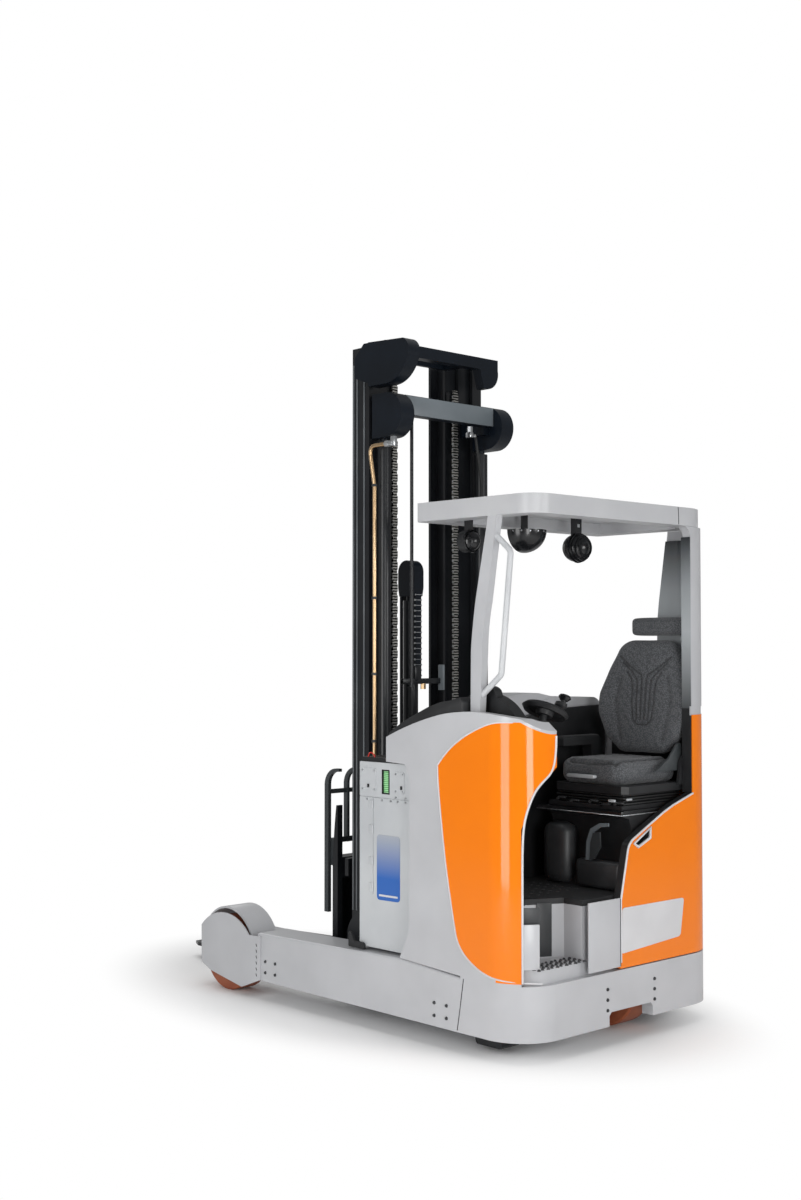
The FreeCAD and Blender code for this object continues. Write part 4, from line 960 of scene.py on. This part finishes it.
# %% Hydraulics
bm = bmesh.new()
for z in (2336, 1830, 1490, 1190):
    drum(bm, (1128, 380, z), (0, 0, 1), 13, 12, 20)
settle("pipe_clamps", bm, hub_iron, "mast_base")
bm = bmesh.new()
drum(bm, (1022, 398, 2512), (1, 0, 0), 15, 24, 6)
drum(bm, (1002, 398, 2512), (1, 0, 0), 11, 22, 16)
slab(bm, (986, 394, 2520), (22, 22, 46), 4)
settle("pipe_union", bm, bright_steel, "mast_base")
bm = bmesh.new()
drum(bm, (1048, -150, 2632), (0, 0, 1), 13, 26, 6)
slab(bm, (1048, -150, 2606), (30, 26, 26), 4)
drum(bm, (1048, -170, 2606), (0, 1, 0), 9, 26, 12)
settle("yoke_union", bm, bright_steel, "mast_middle")
hose_run = [(1048, -186, 2606), (1056, -200, 2590), (1064, -216, 2540), (1080, -256, 2430),
            (1100, -290, 2340), (1120, -300, 2290)]
line("yoke_hose", hose_run, 7, hose_rubber, "mast_middle")
line("descent_tube", [(1048, 226, z) for z in (2654, 2200, 1800, 1430)], 8, mast_paint, "mast_middle",
     smooth=False)
bm = bmesh.new()
slab(bm, (1190, 20, 1452), (18, 270, 26), 3)
slab(bm, (1190, 62, 1488), (24, 40, 70), 4)
settle("hose_bracket", bm, mast_paint, "mast_inner")
bm = bmesh.new()
slab(bm, (1180, -92, 1468), (34, 12, 120), 3)
settle("hose_shield", bm, yoke_paint, "mast_inner")
bm = bmesh.new()
drum(bm, (1188, 20, 1428), (0, 0, 1), 13, 26, 6)
settle("bracket_union", bm, copper, "mast_inner")

# %% [markdown]
# ## Studio
# The truck stands on a pale matt floor. Away from it the floor glows for the camera alone, in an oval
# with a soft edge, so that it melts into white surroundings and still keeps the truck's own shadow.

# %% Floor
bm = bmesh.new()
bmesh.ops.create_grid(bm, x_segments=1, y_segments=1, size=30)
mesh = bpy.data.meshes.new("studio_floor")
bm.to_mesh(mesh)
bm.free()
floor = bpy.data.objects.new("studio_floor", mesh)
scene.collection.objects.link(floor)
floor_white, tree, shader, place = finish("pale_floor", 0.9)
shader.inputs["Base Color"].default_value = rgb("#FAFAFA")
oval = add(tree, "ShaderNodeMapping", {"Scale": (0.62, 1.0, 1.0)}, Vector=place)
length = add(tree, "ShaderNodeVectorMath", {"operation": "LENGTH"}, Vector=oval.outputs["Vector"])
fade = add(tree, "ShaderNodeMapRange", {"From Min": 0.78, "From Max": 1.2, "To Min": 0.0,
                                        "interpolation_type": "SMOOTHSTEP"},
           Value=length.outputs["Value"])
rays = add(tree, "ShaderNodeLightPath")
share = add(tree, "ShaderNodeMath", {"operation": "MULTIPLY"})
tree.links.new(fade.outputs["Result"], share.inputs[0])
tree.links.new(rays.outputs["Is Camera Ray"], share.inputs[1])
glow = add(tree, "ShaderNodeEmission", {"Color": (1, 1, 1, 1), "Strength": 1.0})
mix = add(tree, "ShaderNodeMixShader", (), tree.nodes["Material Output"].inputs["Surface"],
          Fac=share.outputs["Value"])
tree.links.new(shader.outputs["BSDF"], mix.inputs[1])
tree.links.new(glow.outputs["Emission"], mix.inputs[2])
mesh.materials.append(floor_white)

# %% [markdown]
# The surroundings are white where the camera looks straight at them, or through glass. They light the
# truck with less than a third of that, so the lamps do the lighting and the black mast stays black.

# %% Surroundings
world = bpy.data.worlds.new("studio")
scene.world = world
world.use_nodes = True
tree = world.node_tree
rays = add(tree, "ShaderNodeLightPath")
seen = add(tree, "ShaderNodeMath", {"operation": "MAXIMUM"})
tree.links.new(rays.outputs["Is Camera Ray"], seen.inputs[0])
tree.links.new(rays.outputs["Is Transmission Ray"], seen.inputs[1])
level = add(tree, "ShaderNodeMapRange", {"To Min": 0.3, "To Max": 1.0}, Value=seen.outputs["Value"])
background = tree.nodes["Background"]
background.inputs["Color"].default_value = (1, 1, 1, 1)
tree.links.new(level.outputs["Result"], background.inputs["Strength"])
print("surroundings:", world.name)

# %% [markdown]
# Large soft light boxes stand where a studio's would. The tall key on the left and the strip behind it
# give the rounded rear corner its two upright streaks, the one overhead lights the tops, and the weak
# ones in front and at the back open the shadows. More power would burn out the pale paint.

# %% Lamps
def light_box(name, place, target, width, height, power):
    """A rectangular soft light at a station, turned to a target station."""
    data = bpy.data.lights.new(name, "AREA")
    data.shape = "RECTANGLE"
    data.size, data.size_y = width, height
    data.energy = power
    lamp = bpy.data.objects.new(name, data)
    lamp.location = at(*place)
    lamp.rotation_euler = (at(*target) - at(*place)).to_track_quat("-Z", "Y").to_euler()
    scene.collection.objects.link(lamp)
    print("lamp:", name, power, "W")


light_box("overhead_box", (700, 300, 5200), (700, 0, 800), 4.0, 3.2, 85)
light_box("left_key", (-290, 4620, 1500), (500, 400, 1400), 1.5, 2.9, 74)
light_box("corner_strip", (-3860, 2380, 1250), (100, 300, 1200), 1.2, 2.3, 72)
light_box("rear_box", (-4300, -1300, 2100), (0, -100, 500), 1.8, 1.2, 52)
light_box("left_fill", (2600, 5200, 2200), (1800, 600, 600), 2.0, 2.0, 10)
light_box("front_box", (4300, -500, 2600), (1100, 0, 1200), 2.2, 3.0, 24)

# %% [markdown]
# The view is from behind on the left, about seven metres away and at a standing person's eye height. The
# camera is nearly level, so upright lines stay upright. The picture's height sets the angle of view.

# %% Camera
camera_data = bpy.data.cameras.new("camera")
camera_data.sensor_fit = "VERTICAL"
camera_data.sensor_height = 36.0
camera_data.lens = 45.78
camera = bpy.data.objects.new("camera", camera_data)
camera.location = at(-3946, 4959, 1594)
camera.rotation_euler = (math.radians(91.90), 0, math.radians(-133.04))
scene.collection.objects.link(camera)
scene.camera = camera
scene.view_settings.view_transform = "Standard"
print("camera:", camera_data.lens, "mm lens")
